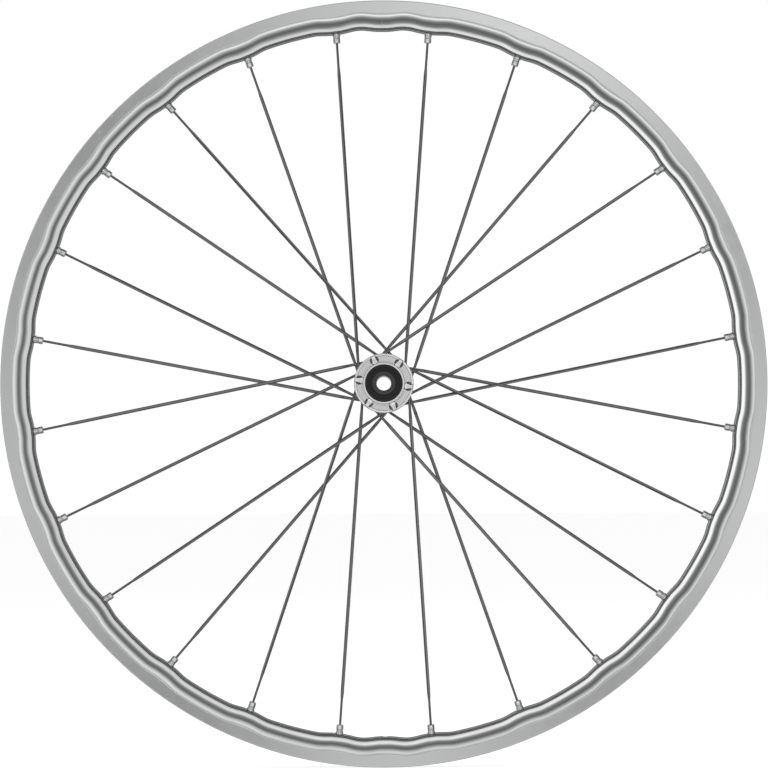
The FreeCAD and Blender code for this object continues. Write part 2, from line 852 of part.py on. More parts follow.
def write_parts(parts):
    os.makedirs("parts", exist_ok=True)
    for part in parts:
        shape = part.Shape
        if shape.isNull() or not shape.isValid():
            raise RuntimeError(part.Label + " has no valid shape")
        print(f"{part.Label}: {len(shape.Solids)} solid(s), {shape.Volume:.1f} mm3")
        shape.exportStep(f"parts/{part.Label}.step")


wheel_parts = make_wheel()
doc.recompute()
check_document()
write_parts(wheel_parts)
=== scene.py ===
"""Looks of a road bicycle's front wheel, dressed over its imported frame.

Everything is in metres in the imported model's frame, and sizes named in millimetres are scaled by
MM. The spin axis is Y, +Z is up and the wheel's right side faces -Y. Angles round the wheel run
clockwise from the top when looking along +Y, so a point at angle a and radius r lies at
x = r sin a, z = r cos a.
"""

import json
import logging
import math
from dataclasses import dataclass, field
from enum import Enum
from typing import Sequence

import bpy
import numpy as np
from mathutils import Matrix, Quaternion, Vector

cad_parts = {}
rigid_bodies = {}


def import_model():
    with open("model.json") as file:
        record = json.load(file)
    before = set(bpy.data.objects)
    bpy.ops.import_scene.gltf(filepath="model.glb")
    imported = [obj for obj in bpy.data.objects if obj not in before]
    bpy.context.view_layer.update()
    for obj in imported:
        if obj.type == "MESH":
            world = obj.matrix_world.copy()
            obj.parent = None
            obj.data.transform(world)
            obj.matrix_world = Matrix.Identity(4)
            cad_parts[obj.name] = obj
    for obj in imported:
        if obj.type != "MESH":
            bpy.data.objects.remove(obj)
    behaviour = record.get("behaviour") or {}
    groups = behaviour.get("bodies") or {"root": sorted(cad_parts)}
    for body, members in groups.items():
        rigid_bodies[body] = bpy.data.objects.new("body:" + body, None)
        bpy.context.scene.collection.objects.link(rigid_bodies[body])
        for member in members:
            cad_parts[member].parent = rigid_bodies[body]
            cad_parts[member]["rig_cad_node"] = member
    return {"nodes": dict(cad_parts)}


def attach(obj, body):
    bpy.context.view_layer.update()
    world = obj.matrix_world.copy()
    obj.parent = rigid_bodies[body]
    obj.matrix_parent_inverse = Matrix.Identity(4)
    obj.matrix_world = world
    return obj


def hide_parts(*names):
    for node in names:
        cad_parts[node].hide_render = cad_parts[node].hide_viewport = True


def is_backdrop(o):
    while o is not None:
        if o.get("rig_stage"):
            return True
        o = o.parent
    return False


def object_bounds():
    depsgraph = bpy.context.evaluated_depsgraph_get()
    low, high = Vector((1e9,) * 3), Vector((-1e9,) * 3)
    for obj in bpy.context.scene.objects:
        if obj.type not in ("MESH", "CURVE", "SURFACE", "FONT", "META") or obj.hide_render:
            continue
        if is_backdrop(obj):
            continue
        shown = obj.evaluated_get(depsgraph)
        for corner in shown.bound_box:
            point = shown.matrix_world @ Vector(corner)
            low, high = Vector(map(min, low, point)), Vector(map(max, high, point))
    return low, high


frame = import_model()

MM = 0.001
FLAT_END = 0.12
log = logging.getLogger("front_wheel")


class Side(Enum):
    """The two sides of the wheel, by the sign of their Y."""

    RIGHT = -1
    LEFT = 1

    @property
    def word(self) -> str:
        """The side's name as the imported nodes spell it."""
        return self.name.lower()


class Ends(Enum):
    """How a swept surface is finished at its two ends."""

    LOOPED = "looped"
    CAPPED = "capped"


# ------------------------------------------------------------------ surfaces


@dataclass(frozen=True)
class Corner:
    """One corner of a turned outline, in millimetres.

    radius is the distance from the axis, along the place on the axis and round the fillet.
    """

    radius: float
    along: float
    round: float = 0.0


def rounded_outline(corners: Sequence[Corner], arc_steps: int = 5) -> np.ndarray:
    """Closed outline through corners, each cut off by its fillet arc.

    A fillet of radius R at a corner that turns by t starts and ends R tan(t / 2) from the corner,
    never past 0.49 of a side. Its points are spaced evenly along the arc, by spherical
    interpolation between the two side normals.

    Args:
        corners: the outline's corners, in order.
        arc_steps: points on each fillet arc.

    Returns:
        Points (radius, along) in millimetres, one row each.
    """
    places = np.array([(c.radius, c.along) for c in corners])
    rounds = np.array([c.round for c in corners])
    back = np.roll(places, 1, axis=0) - places
    ahead = np.roll(places, -1, axis=0) - places
    reach = 0.49 * np.minimum(np.linalg.norm(back, axis=1), np.linalg.norm(ahead, axis=1))
    back /= np.linalg.norm(back, axis=1)[:, None]
    ahead /= np.linalg.norm(ahead, axis=1)[:, None]
    opening = np.arccos(np.clip((back * ahead).sum(1), -1.0, 1.0))
    cut = np.minimum(rounds / np.maximum(np.tan(opening / 2), 1e-6), reach)
    radius = cut * np.tan(opening / 2)
    middle = (back + ahead) / np.maximum(np.linalg.norm(back + ahead, axis=1), 1e-9)[:, None]
    centre = places + middle * (radius / np.maximum(np.sin(opening / 2), 1e-6))[:, None]
    first = places + back * cut[:, None] - centre
    last = places + ahead * cut[:, None] - centre
    turn = math.pi - opening
    share = np.linspace(0.0, 1.0, arc_steps)[None, :, None]
    bend = np.maximum(turn, 1e-6)[:, None, None]
    arcs = (np.sin((1 - share) * bend) * first[:, None, :] + np.sin(share * bend) * last[:, None, :])
    arcs = centre[:, None, :] + arcs / np.sin(bend)
    rows = [arc if cut_here > 1e-6 else place[None] for arc, cut_here, place in zip(arcs, cut, places)]
    return np.concatenate(rows)


def split_long_sides(outline: np.ndarray, longest: float) -> np.ndarray:
    """Add evenly spaced points on each side of a closed outline that is longer than longest.

    A split side also gets a point FLAT_END from each end, so that smooth shading stays flat on it.
    """
    rows = []
    for start, end in zip(outline, np.roll(outline, -1, axis=0)):
        length = np.linalg.norm(end - start)
        count = max(1, math.ceil(length / longest))
        share = np.arange(count) / count
        if count > 1:
            hold = FLAT_END / length
            share = np.concatenate([share[:1], [hold], share[1:], [1.0 - hold]])
        rows.append(start + (end - start) * share[:, None])
    return np.concatenate(rows)


@dataclass
class Surface:
    """A closed skin of quads: points (rows, columns, 3) that loop round in their columns.

    ends says whether the rows also loop, as on a ring, or are capped by a pole at each end.
    """

    points: np.ndarray
    ends: Ends = Ends.LOOPED

    def faces(self) -> np.ndarray:
        """Vertex numbers of the quads between neighbouring rows and columns."""
        rows, columns = self.points.shape[:2]
        spans = rows if self.ends is Ends.LOOPED else rows - 1
        row, column = np.meshgrid(np.arange(spans), np.arange(columns), indexing="ij")
        next_row, next_column = (row + 1) % rows, (column + 1) % columns
        corners = [
            row * columns + column,
            next_row * columns + column,
            next_row * columns + next_column,
            row * columns + next_column,
        ]
        return np.stack(corners, axis=-1).reshape(-1, 4)

    def pole_faces(self) -> np.ndarray:
        """Triangles from each end's pole to its row, or none on a looped surface."""
        if self.ends is Ends.LOOPED:
            return np.zeros((0, 3), int)
        rows, columns = self.points.shape[:2]
        column = np.arange(columns)
        following = (column + 1) % columns
        first_pole, last_pole = rows * columns, rows * columns + 1
        last_row = (rows - 1) * columns
        start = np.stack([np.full(columns, first_pole), column, following], axis=-1)
        end = np.stack([np.full(columns, last_pole), last_row + following, last_row + column], axis=-1)
        return np.concatenate([start, end])

    def vertices(self) -> np.ndarray:
        """All points, with the two poles last where there are any."""
        flat = self.points.reshape(-1, 3)
        if self.ends is Ends.LOOPED:
            return flat
        poles = np.stack([self.points[0].mean(0), self.points[-1].mean(0)])
        return np.concatenate([flat, poles])

    def unwrapped(self) -> np.ndarray:
        """Surface lengths in metres for every vertex: round the section, and along the rows."""
        rows, columns = self.points.shape[:2]
        around = np.linalg.norm(np.diff(self.points, axis=1, prepend=self.points[:, :1]), axis=2)
        along = np.linalg.norm(np.diff(self.points, axis=0, prepend=self.points[:1]), axis=2)
        lengths = np.stack([around.cumsum(1).mean(0)[None, :] + 0 * around, along.cumsum(0)], axis=-1)
        flat = lengths.reshape(-1, 2)
        if self.ends is Ends.LOOPED:
            return flat
        return np.concatenate([flat, flat[:1], flat[-1:]])


def skin_mesh(name: str, surfaces: Sequence[Surface], sharp_degrees: float = 35.0) -> bpy.types.Object:
    """One object from closed surfaces, faces turned outwards by the sign of the enclosed volume.

    The volume is a sixth of the sum, over triangles, of each corner's dot product with the cross
    product of the other two.

    Args:
        name: the object's name.
        surfaces: closed skins, which may be separate solids.
        sharp_degrees: edges that turn by more stay sharp.

    Returns:
        The linked object.
    """
    vertices, loops, starts, lengths, base, loop_base = [], [], [], [], 0, 0
    for surface in surfaces:
        points, quads, triangles = surface.vertices(), surface.faces(), surface.pole_faces()
        halves = np.concatenate([quads[:, [0, 1, 2]], quads[:, [0, 2, 3]], triangles])
        a, b, c = (points[halves[:, corner]] for corner in range(3))
        if (a * np.cross(b, c)).sum() < 0:
            quads, triangles = quads[:, ::-1], triangles[:, ::-1]
        flat = np.concatenate([quads.ravel(), triangles.ravel()])
        sizes = np.concatenate([np.full(len(quads), 4), np.full(len(triangles), 3)])
        vertices.append(points)
        loops.append(flat + base)
        starts.append(loop_base + np.concatenate([[0], sizes.cumsum()[:-1]]))
        lengths.append(surface.unwrapped())
        base += len(points)
        loop_base += len(flat)
    corner_vertices = np.concatenate(loops).astype(np.int32)
    mesh = bpy.data.meshes.new(name)
    mesh.vertices.add(base)
    mesh.vertices.foreach_set("co", np.concatenate(vertices).astype(np.float32).ravel())
    mesh.loops.add(loop_base)
    mesh.loops.foreach_set("vertex_index", corner_vertices)
    mesh.polygons.add(sum(len(s) for s in starts))
    mesh.polygons.foreach_set("loop_start", np.concatenate(starts).astype(np.int32))
    mesh.update(calc_edges=True)
    unwrapped = mesh.uv_layers.new(name="lengths")
    unwrapped.data.foreach_set("uv", np.concatenate(lengths)[corner_vertices].astype(np.float32).ravel())
    mesh.validate()
    thing = bpy.data.objects.new(name, mesh)
    bpy.context.scene.collection.objects.link(thing)
    smooth(thing, sharp_degrees)
    return thing


def smooth(thing: bpy.types.Object, sharp_degrees: float) -> None:
    """Shade a mesh smooth apart from the edges that turn by more than sharp_degrees."""
    thing.data.shade_smooth()
    thing.data.set_sharp_from_angle(angle=math.radians(sharp_degrees))


def turned_ring(outline: np.ndarray, steps: int) -> Surface:
    """A ring turned about the Y axis: x = r sin a, y = along, z = r cos a for each outline point."""
    angle = np.linspace(0.0, 2 * math.pi, steps, endpoint=False)[:, None]
    radius, along = outline[None, :, 0] * MM, outline[None, :, 1] * MM
    points = np.stack([radius * np.sin(angle), along + 0 * angle, radius * np.cos(angle)], axis=-1)
    return Surface(points)


def bar(radii: np.ndarray, places: np.ndarray, steps: int) -> Surface:
    """A capped round bar along Z: a circle of each radius at each place, both in millimetres."""
    angle = np.linspace(0.0, 2 * math.pi, steps, endpoint=False)[None, :]
    radius = np.asarray(radii, float)[:, None] * MM
    place = np.asarray(places, float)[:, None] * MM
    points = np.stack([radius * np.cos(angle), radius * np.sin(angle), place + 0 * angle], axis=-1)
    return Surface(points, Ends.CAPPED)


def moved(surface: Surface, turn: np.ndarray, shift: np.ndarray) -> Surface:
    """The same surface turned by a matrix whose columns are its new axes, then shifted."""
    return Surface(surface.points @ turn.T + shift, surface.ends)


def smooth_step(value: np.ndarray) -> np.ndarray:
    """0 below 0, 1 above 1 and 3 v^2 - 2 v^3 between."""
    held = np.clip(value, 0.0, 1.0)
    return held * held * (3.0 - 2.0 * held)


def cut_out(thing: bpy.types.Object, cutters: Sequence[Surface], sharp_degrees: float) -> None:
    """Subtract closed surfaces from a closed mesh and smooth what is left."""
    tool = skin_mesh(thing.name + "_cutter", cutters)
    cutting = thing.modifiers.new("cut", "BOOLEAN")
    cutting.operation = "DIFFERENCE"
    cutting.solver = "MANIFOLD"
    cutting.object = tool
    graph = bpy.context.evaluated_depsgraph_get()
    result = bpy.data.meshes.new_from_object(thing.evaluated_get(graph))
    thing.modifiers.clear()
    before, thing.data = thing.data, result
    bpy.data.meshes.remove(before)
    bpy.data.objects.remove(tool)
    smooth(thing, sharp_degrees)


# ------------------------------------------------------------------ shader sums

Number = float | int


class Channel:
    """One shader output that takes part in sums; each operator adds a Math node."""

    def __init__(self, shader: "Shader", socket: bpy.types.NodeSocket) -> None:
        """Wrap a socket of a shader's tree."""
        self.shader = shader
        self.socket = socket

    def _sum(self, operation: str, first: "Channel | Number", second: "Channel | Number") -> "Channel":
        """Add the Math node of one operation on two terms."""
        return self.shader.node("ShaderNodeMath", {"operation": operation}, {0: first, 1: second})

    def __add__(self, other: "Channel | Number") -> "Channel":
        """self + other."""
        return self._sum("ADD", self, other)

    def __radd__(self, other: Number) -> "Channel":
        """other + self."""
        return self._sum("ADD", other, self)

    def __sub__(self, other: "Channel | Number") -> "Channel":
        """self - other."""
        return self._sum("SUBTRACT", self, other)

    def __rsub__(self, other: Number) -> "Channel":
        """other - self."""
        return self._sum("SUBTRACT", other, self)

    def __mul__(self, other: "Channel | Number") -> "Channel":
        """self * other."""
        return self._sum("MULTIPLY", self, other)

    def __rmul__(self, other: Number) -> "Channel":
        """other * self."""
        return self._sum("MULTIPLY", other, self)

    def __truediv__(self, other: "Channel | Number") -> "Channel":
        """self / other."""
        return self._sum("DIVIDE", self, other)

    def __mod__(self, other: Number) -> "Channel":
        """What is left of self after taking other away whole times, never below 0."""
        return self._sum("FLOORED_MODULO", self, other)

    def __pow__(self, other: Number) -> "Channel":
        """self to the power other."""
        return self._sum("POWER", self, other)

    def size(self) -> "Channel":
        """The value without its sign."""
        return self.shader.node("ShaderNodeMath", {"operation": "ABSOLUTE"}, {0: self})

    def between(self, low: float, high: float) -> "Channel":
        """0 below low, 1 above high and a smooth step between; low above high turns it round."""
        first, last, start, end = (low, high, 0.0, 1.0) if low < high else (high, low, 1.0, 0.0)
        settings = {"interpolation_type": "SMOOTHSTEP"}
        inputs = {"Value": self, "From Min": first, "From Max": last, "To Min": start, "To Max": end}
        return self.shader.node("ShaderNodeMapRange", settings, inputs)


class Shader:
    """A node tree under construction."""

    def __init__(self, tree: bpy.types.NodeTree) -> None:
        """Start with an empty tree."""
        self.tree = tree
        tree.nodes.clear()

    def node(
        self,
        kind: str,
        settings: dict | None = None,
        inputs: dict | None = None,
        output: int | str = 0,
    ) -> Channel:
        """Add a node of any kind.

        Args:
            kind: the node's type name.
            settings: properties set first; "stops" is a ramp's list of (place, brightness).
            inputs: socket name or number -> Channel, number or tuple.
            output: which output to hand back.

        Returns:
            The chosen output as a Channel.
        """
        node = self.tree.nodes.new(kind)
        for name, value in (settings or {}).items():
            if name == "stops":
                self._set_stops(node.color_ramp, value)
            else:
                setattr(node, name, value)
        for name, value in (inputs or {}).items():
            if isinstance(value, Channel):
                self.tree.links.new(value.socket, node.inputs[name])
            else:
                node.inputs[name].default_value = value
        outputs = node.outputs
        return Channel(self, outputs[output] if len(outputs) else None)

    @staticmethod
    def _set_stops(ramp: bpy.types.ColorRamp, stops: Sequence[tuple]) -> None:
        """Give a ramp its (place, brightness) stops."""
        while len(ramp.elements) > 1:
            ramp.elements.remove(ramp.elements[-1])
        for number, (place, brightness) in enumerate(stops):
            stop = ramp.elements[0] if number == 0 else ramp.elements.new(place)
            stop.position = place
            stop.color = grey(brightness)

    def parts(self, vector: Channel) -> tuple[Channel, Channel, Channel]:
        """The three parts of a vector."""
        split = self.tree.nodes.new("ShaderNodeSeparateXYZ")
        self.tree.links.new(vector.socket, split.inputs[0])
        return tuple(Channel(self, split.outputs[number]) for number in range(3))

    def vector(self, x: Channel | Number, y: Channel | Number, z: Channel | Number) -> Channel:
        """A vector from three values."""
        return self.node("ShaderNodeCombineXYZ", None, {0: x, 1: y, 2: z})

    def noise(self, where: Channel, scale: float, detail: float = 2.0, rough: float = 0.5) -> Channel:
        """Noise from 0 to 1 at a place."""
        inputs = {"Vector": where, "Scale": scale, "Detail": detail, "Roughness": rough}
        return self.node("ShaderNodeTexNoise", None, inputs)

    def mixed(self, share: Channel, first: Channel | tuple, second: Channel | tuple) -> Channel:
        """A colour between two, by a share from 0 to 1."""
        colour_sockets = {0: share, 6: first, 7: second}
        return self.node("ShaderNodeMix", {"data_type": "RGBA"}, colour_sockets, output=2)


def grey(value: float) -> tuple[float, float, float, float]:
    """An opaque grey."""
    return (value, value, value, 1.0)


def shade(colour: tuple[float, float, float], by: float) -> tuple[float, float, float, float]:
    """A colour made darker or lighter by a factor."""
    return (*(min(1.0, part * by) for part in colour), 1.0)


# ------------------------------------------------------------------ finishes


@dataclass(frozen=True)
class Finish:
    """What every finish has: its name, colour, roughness and how metallic it is."""

    name: str
    colour: tuple[float, float, float]
    roughness: float
    metallic: float = 1.0

    def material(self) -> bpy.types.Material:
        """Build the material: shared surface, then this finish's own pattern."""
        made = bpy.data.materials.new(self.name)
        made.use_nodes = True
        shader = Shader(made.node_tree)
        surface = shader.tree.nodes.new("ShaderNodeBsdfPrincipled")
        surface.inputs["Metallic"].default_value = self.metallic
        out = shader.tree.nodes.new("ShaderNodeOutputMaterial")
        shader.tree.links.new(surface.outputs[0], out.inputs[0])
        colour, roughness, height, depth = self.pattern(shader)
        heights = {"Height": height, "Strength": 1.0, "Distance": depth}
        bump = shader.node("ShaderNodeBump", None, heights)
        for name, value in (("Base Color", colour), ("Roughness", roughness), ("Normal", bump)):
            shader.tree.links.new(value.socket, surface.inputs[name])
        return made

    def pattern(self, shader: Shader) -> tuple[Channel, Channel, Channel, float]:
        """Colour, roughness, height and the height's depth in metres, over the surface."""
        raise NotImplementedError

    @staticmethod
    def place(shader: Shader) -> Channel:
        """The piece's own place, in metres."""
        return shader.node("ShaderNodeTexCoord", output="Object")


@dataclass(frozen=True)
class TurnedMetal(Finish):
    """Metal turned on a lathe: fine rings about the spin axis, faint handling marks.

    The rings are noise of (distance from the axis, place along it), so they follow faces and
    barrels alike.
    """

    ring_pitch: float = 0.25
    ring_depth: float = 0.0015
    smudge: float = 0.06

    def rings(self, shader: Shader) -> tuple[Channel, Channel, Channel, Channel]:
        """The ring noise, smudges, radius and Y in metres."""
        place = self.place(shader)
        x, y, z = shader.parts(place)
        radius = (x * x + z * z) ** 0.5
        lathe = shader.noise(shader.vector(radius, y, 0.0), 1.0 / (self.ring_pitch * MM), 3.0, 0.65)
        smudges = shader.noise(place, 60.0, 3.0, 0.6)
        return lathe, smudges, radius, y

    def pattern(self, shader: Shader) -> tuple[Channel, Channel, Channel, float]:
        """Rings move roughness and height a little, smudges the roughness and the tone."""
        lathe, smudges, _, _ = self.rings(shader)
        roughness = self.roughness + self.smudge * (smudges - 0.5) + 0.10 * (lathe - 0.5)
        tone = (smudges - 0.35) * 0.25 + (lathe - 0.5) * 0.25 + 0.5
        colour = shader.mixed(tone, shade(self.colour, 0.9), shade(self.colour, 1.06))
        return colour, roughness, lathe, self.ring_depth * MM


@dataclass(frozen=True)
class RimAlloy(TurnedMetal):
    """The rim: polished nose, sidewalls with coarser turning rings, a fine seam at the top.

    A point is on a sidewall where its distance from the middle plane is nearly half the rim's
    width, and on the nose's inner face where it's less than underside_half_width and nearer the
    axle than underside_radius; there the colour is darkened as painted shade and the roughness
    rises a little. The seam is a thin line where x is near 0 above the axle.
    The tyre channel, beyond channel_radius and inside channel_half_width, is rougher.
    """

    half_width: float = 10.8
    sidewall_roughness: float = 0.09
    underside_half_width: float = 5.6
    underside_radius: float = 301.0
    channel_radius: float = 307.0
    channel_half_width: float = 8.8
    seam_half_width: float = 0.16

    def pattern(self, shader: Shader) -> tuple[Channel, Channel, Channel, float]:
        """Blend the sidewall's rings with the nose's polish, draw the seam and paint shade low on the
        nose.
        """
        lathe, smudges, radius, y = self.rings(shader)
        place = self.place(shader)
        x, _, z = shader.parts(place)
        sidewall = y.size().between((self.half_width - 0.12) * MM, (self.half_width - 0.03) * MM)
        inside = y.size().between(self.channel_half_width * MM, (self.channel_half_width - 0.2) * MM)
        channel = radius.between((self.channel_radius - 1.0) * MM, self.channel_radius * MM) * inside
        drawn = shader.noise(shader.vector(y, radius * 0.0, 0.0), 2600.0, 2.0, 0.6)
        seam = x.size().between(self.seam_half_width * MM, 0.04 * MM) * z.between(0.0, 0.1)
        stretched = shader.vector(x * 9.0, y * 160.0, z * 9.0)
        scratch = shader.noise(stretched, 30.0, 2.0, 0.5).between(0.66, 0.72)
        grain = lathe * sidewall + drawn * (1.0 - sidewall) * 0.45
        ring_wear = 0.10 * sidewall * (lathe - 0.5) + 0.05 * (smudges - 0.5) + 0.05 * scratch
        base = self.roughness + (self.sidewall_roughness - self.roughness) * sidewall + 0.22 * channel
        roughness = base + ring_wear + 0.25 * seam
        tone = 0.55 + (smudges - 0.5) * 0.25 + (lathe - 0.5) * 0.35 * sidewall
        tone = tone - 0.45 * seam - 0.25 * channel
        colour = shader.mixed(tone, shade(self.colour, 0.86), shade(self.colour, 1.06))
        # Painted shade: the nose's inner face is pulled towards a near-black copy of the rim colour,
        # standing in for the dark reflection the polished metal shows there.
        half, reach = self.underside_half_width, self.underside_radius
        underside_painted_shade = y.size().between(half * MM, (half - 0.5) * MM)
        underside_painted_shade = underside_painted_shade * radius.between(reach * MM, (reach - 1.0) * MM)
        colour = shader.mixed(underside_painted_shade * 0.6, colour, shade(self.colour, 0.12))
        return colour, roughness + 0.08 * underside_painted_shade, grain - 1.5 * seam, self.ring_depth * MM


@dataclass(frozen=True)
class DrawnMetal(Finish):
    """Drawn wire or bar: hairlines along the piece, from its own unwrapped lengths."""

    line_pitch: float = 0.08
    line_depth: float = 0.0012

    def pattern(self, shader: Shader) -> tuple[Channel, Channel, Channel, float]:
        """Noise squeezed across the piece and stretched along it gives hairlines."""
        lengths = shader.node("ShaderNodeUVMap", {"uv_map": "lengths"})
        around, along, _ = shader.parts(lengths)
        across = 1.0 / (self.line_pitch * MM)
        lines = shader.noise(shader.vector(around * across, along * across * 0.012, 0.0), 1.0, 2.0, 0.6)
        smudges = shader.noise(self.place(shader), 90.0, 3.0, 0.6)
        roughness = self.roughness + 0.14 * (lines - 0.5) + 0.08 * (smudges - 0.5)
        tone = 0.5 + (lines - 0.5) * 0.6 + (smudges - 0.5) * 0.4
        colour = shader.mixed(tone, shade(self.colour, 0.82), shade(self.colour, 1.15))
        return colour, roughness, lines, self.line_depth * MM


@dataclass(frozen=True)
class GrainedCoat(Finish):
    """Anodised, moulded or rubber surface: a fine pebbled grain with faint rubbing."""

    grain_pitch: float = 0.12
    grain_depth: float = 0.004

    def pattern(self, shader: Shader) -> tuple[Channel, Channel, Channel, float]:
        """A close noise gives the grain, a wide one the rubbed tone."""
        place = self.place(shader)
        grain = shader.noise(place, 1.0 / (self.grain_pitch * MM), 2.0, 0.6)
        rubbed = shader.noise(place, 120.0, 4.0, 0.6)
        roughness = self.roughness + 0.12 * (rubbed - 0.5) + 0.08 * (grain - 0.5)
        tone = 0.5 + (rubbed - 0.5) * 0.5 + (grain - 0.5) * 0.4
        colour = shader.mixed(tone, shade(self.colour, 0.75), shade(self.colour, 1.35))
        return colour, roughness, grain, self.grain_depth * MM


@dataclass(frozen=True)
class Finishes:
    """Every finish on the wheel, made once and shared."""

    rim: Finish = RimAlloy("rim_alloy", (0.86, 0.865, 0.87), 0.12, ring_pitch=0.18, ring_depth=0.0004)
    nipple: Finish = DrawnMetal("nipple_alloy", (0.92, 0.92, 0.925), 0.12, line_depth=0.0004)
    insert: Finish = DrawnMetal("insert_alloy", (0.82, 0.825, 0.83), 0.20)
    spoke: Finish = DrawnMetal("spoke_steel", (0.19, 0.19, 0.194), 0.09, line_depth=0.0003)
    hub: Finish = TurnedMetal("hub_alloy", (0.93, 0.93, 0.935), 0.17)
    axle: Finish = TurnedMetal("axle_alloy", (0.60, 0.605, 0.61), 0.28)
    race: Finish = TurnedMetal("bearing_steel", (0.66, 0.66, 0.67), 0.14, ring_depth=0.0006)
    ball: Finish = GrainedCoat("ball_steel", (0.74, 0.74, 0.75), 0.07, grain_depth=0.0002)
    cage: Finish = GrainedCoat("cage_nylon", (0.30, 0.10, 0.03), 0.45, metallic=0.0)
    seal: Finish = GrainedCoat(
        "seal_rubber", (0.018, 0.018, 0.019), 0.6, metallic=0.0, grain_depth=0.006
    )
    cover: Finish = GrainedCoat("cover_black", (0.005, 0.005, 0.0055), 0.42, metallic=0.0)
    cap: Finish = TurnedMetal("cap_grey", (0.08, 0.08, 0.084), 0.30, ring_depth=0.002)
    o_ring: Finish = GrainedCoat("o_ring_rubber", (0.012, 0.012, 0.012), 0.5, metallic=0.0)


class Wardrobe:
    """Hands out each finish's material, built on first use."""

    def __init__(self, finishes: Finishes) -> None:
        """Keep the finishes and start with no material."""
        self.finishes = finishes
        self.made: dict[str, bpy.types.Material] = {}

    def wear(self, thing: bpy.types.Object, finish: Finish) -> None:
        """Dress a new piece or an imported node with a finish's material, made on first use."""
        if finish.name not in self.made:
            self.made[finish.name] = finish.material()
        thing.data.materials.clear()
        thing.data.materials.append(self.made[finish.name])


def settle(thing: bpy.types.Object, body: str, *nodes: str) -> bpy.types.Object:
    """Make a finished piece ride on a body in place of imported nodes, and report it."""
    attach(thing, body)
    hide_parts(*nodes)
    log.info("%s: %d faces, rides on %s", thing.name, len(thing.data.polygons), body)
    return thing


# ------------------------------------------------------------------ lacing


@dataclass(frozen=True)
class Lacing:
    """Where the spokes run, in millimetres and degrees.

    Odd spokes start in the right flange's pockets and even ones in the left flange's. Two share
    each pocket: one runs reach degrees forwards round the wheel and one backwards, and their
    heads are staggered along the axle.
    """

    count: int = 24
    reach: float = 75.0
    hole_radius: float = 291.0
    pocket_circle: dict = field(default_factory=lambda: {Side.RIGHT: 20.3, Side.LEFT: 17.2})
    flange_centre: dict = field(default_factory=lambda: {Side.RIGHT: 35.0, Side.LEFT: 23.0})
    stagger: float = 1.3

    def numbers(self) -> range:
        """Spoke numbers, from 1."""
        return range(1, self.count + 1)

    def hole_angle(self, number: int) -> float:
        """Degrees round the rim of a spoke's hole."""
        return (number - 1.5) * 360.0 / self.count

    def pocket_angle(self, number: int) -> float:
        """Degrees round the flange of a spoke's pocket."""
        forwards = number % 4 in (0, 1)
        return self.hole_angle(number) - self.reach if forwards else self.hole_angle(number) + self.reach

    def line(self, number: int) -> tuple[np.ndarray, np.ndarray]:
        """The pocket's and the rim hole's places on a spoke's line, in metres."""
        side = Side.RIGHT if number % 2 else Side.LEFT
        stagger = self.stagger if number % 4 in (0, 1) else -self.stagger
        along = side.value * (self.flange_centre[side] + stagger)
        start = wheel_point(self.pocket_circle[side], self.pocket_angle(number), along)
        return start, wheel_point(self.hole_radius, self.hole_angle(number), 0.0)

    def axes(self, number: int) -> np.ndarray:
        """Matrix whose columns are across the spoke, near the spin axis, and out along it."""
        start, end = self.line(number)
        outward = (end - start) / np.linalg.norm(end - start)
        across = np.cross((0.0, 1.0, 0.0), outward)
        across /= np.linalg.norm(across)
        return np.stack([across, np.cross(outward, across), outward], axis=-1)


def wheel_point(radius: float, degrees: float, along: float) -> np.ndarray:
    """A point at a radius and an angle round the wheel, given in millimetres, in metres."""
    angle = math.radians(degrees)
    return np.array([radius * math.sin(angle), along, radius * math.cos(angle)]) * MM


# ------------------------------------------------------------------ rim


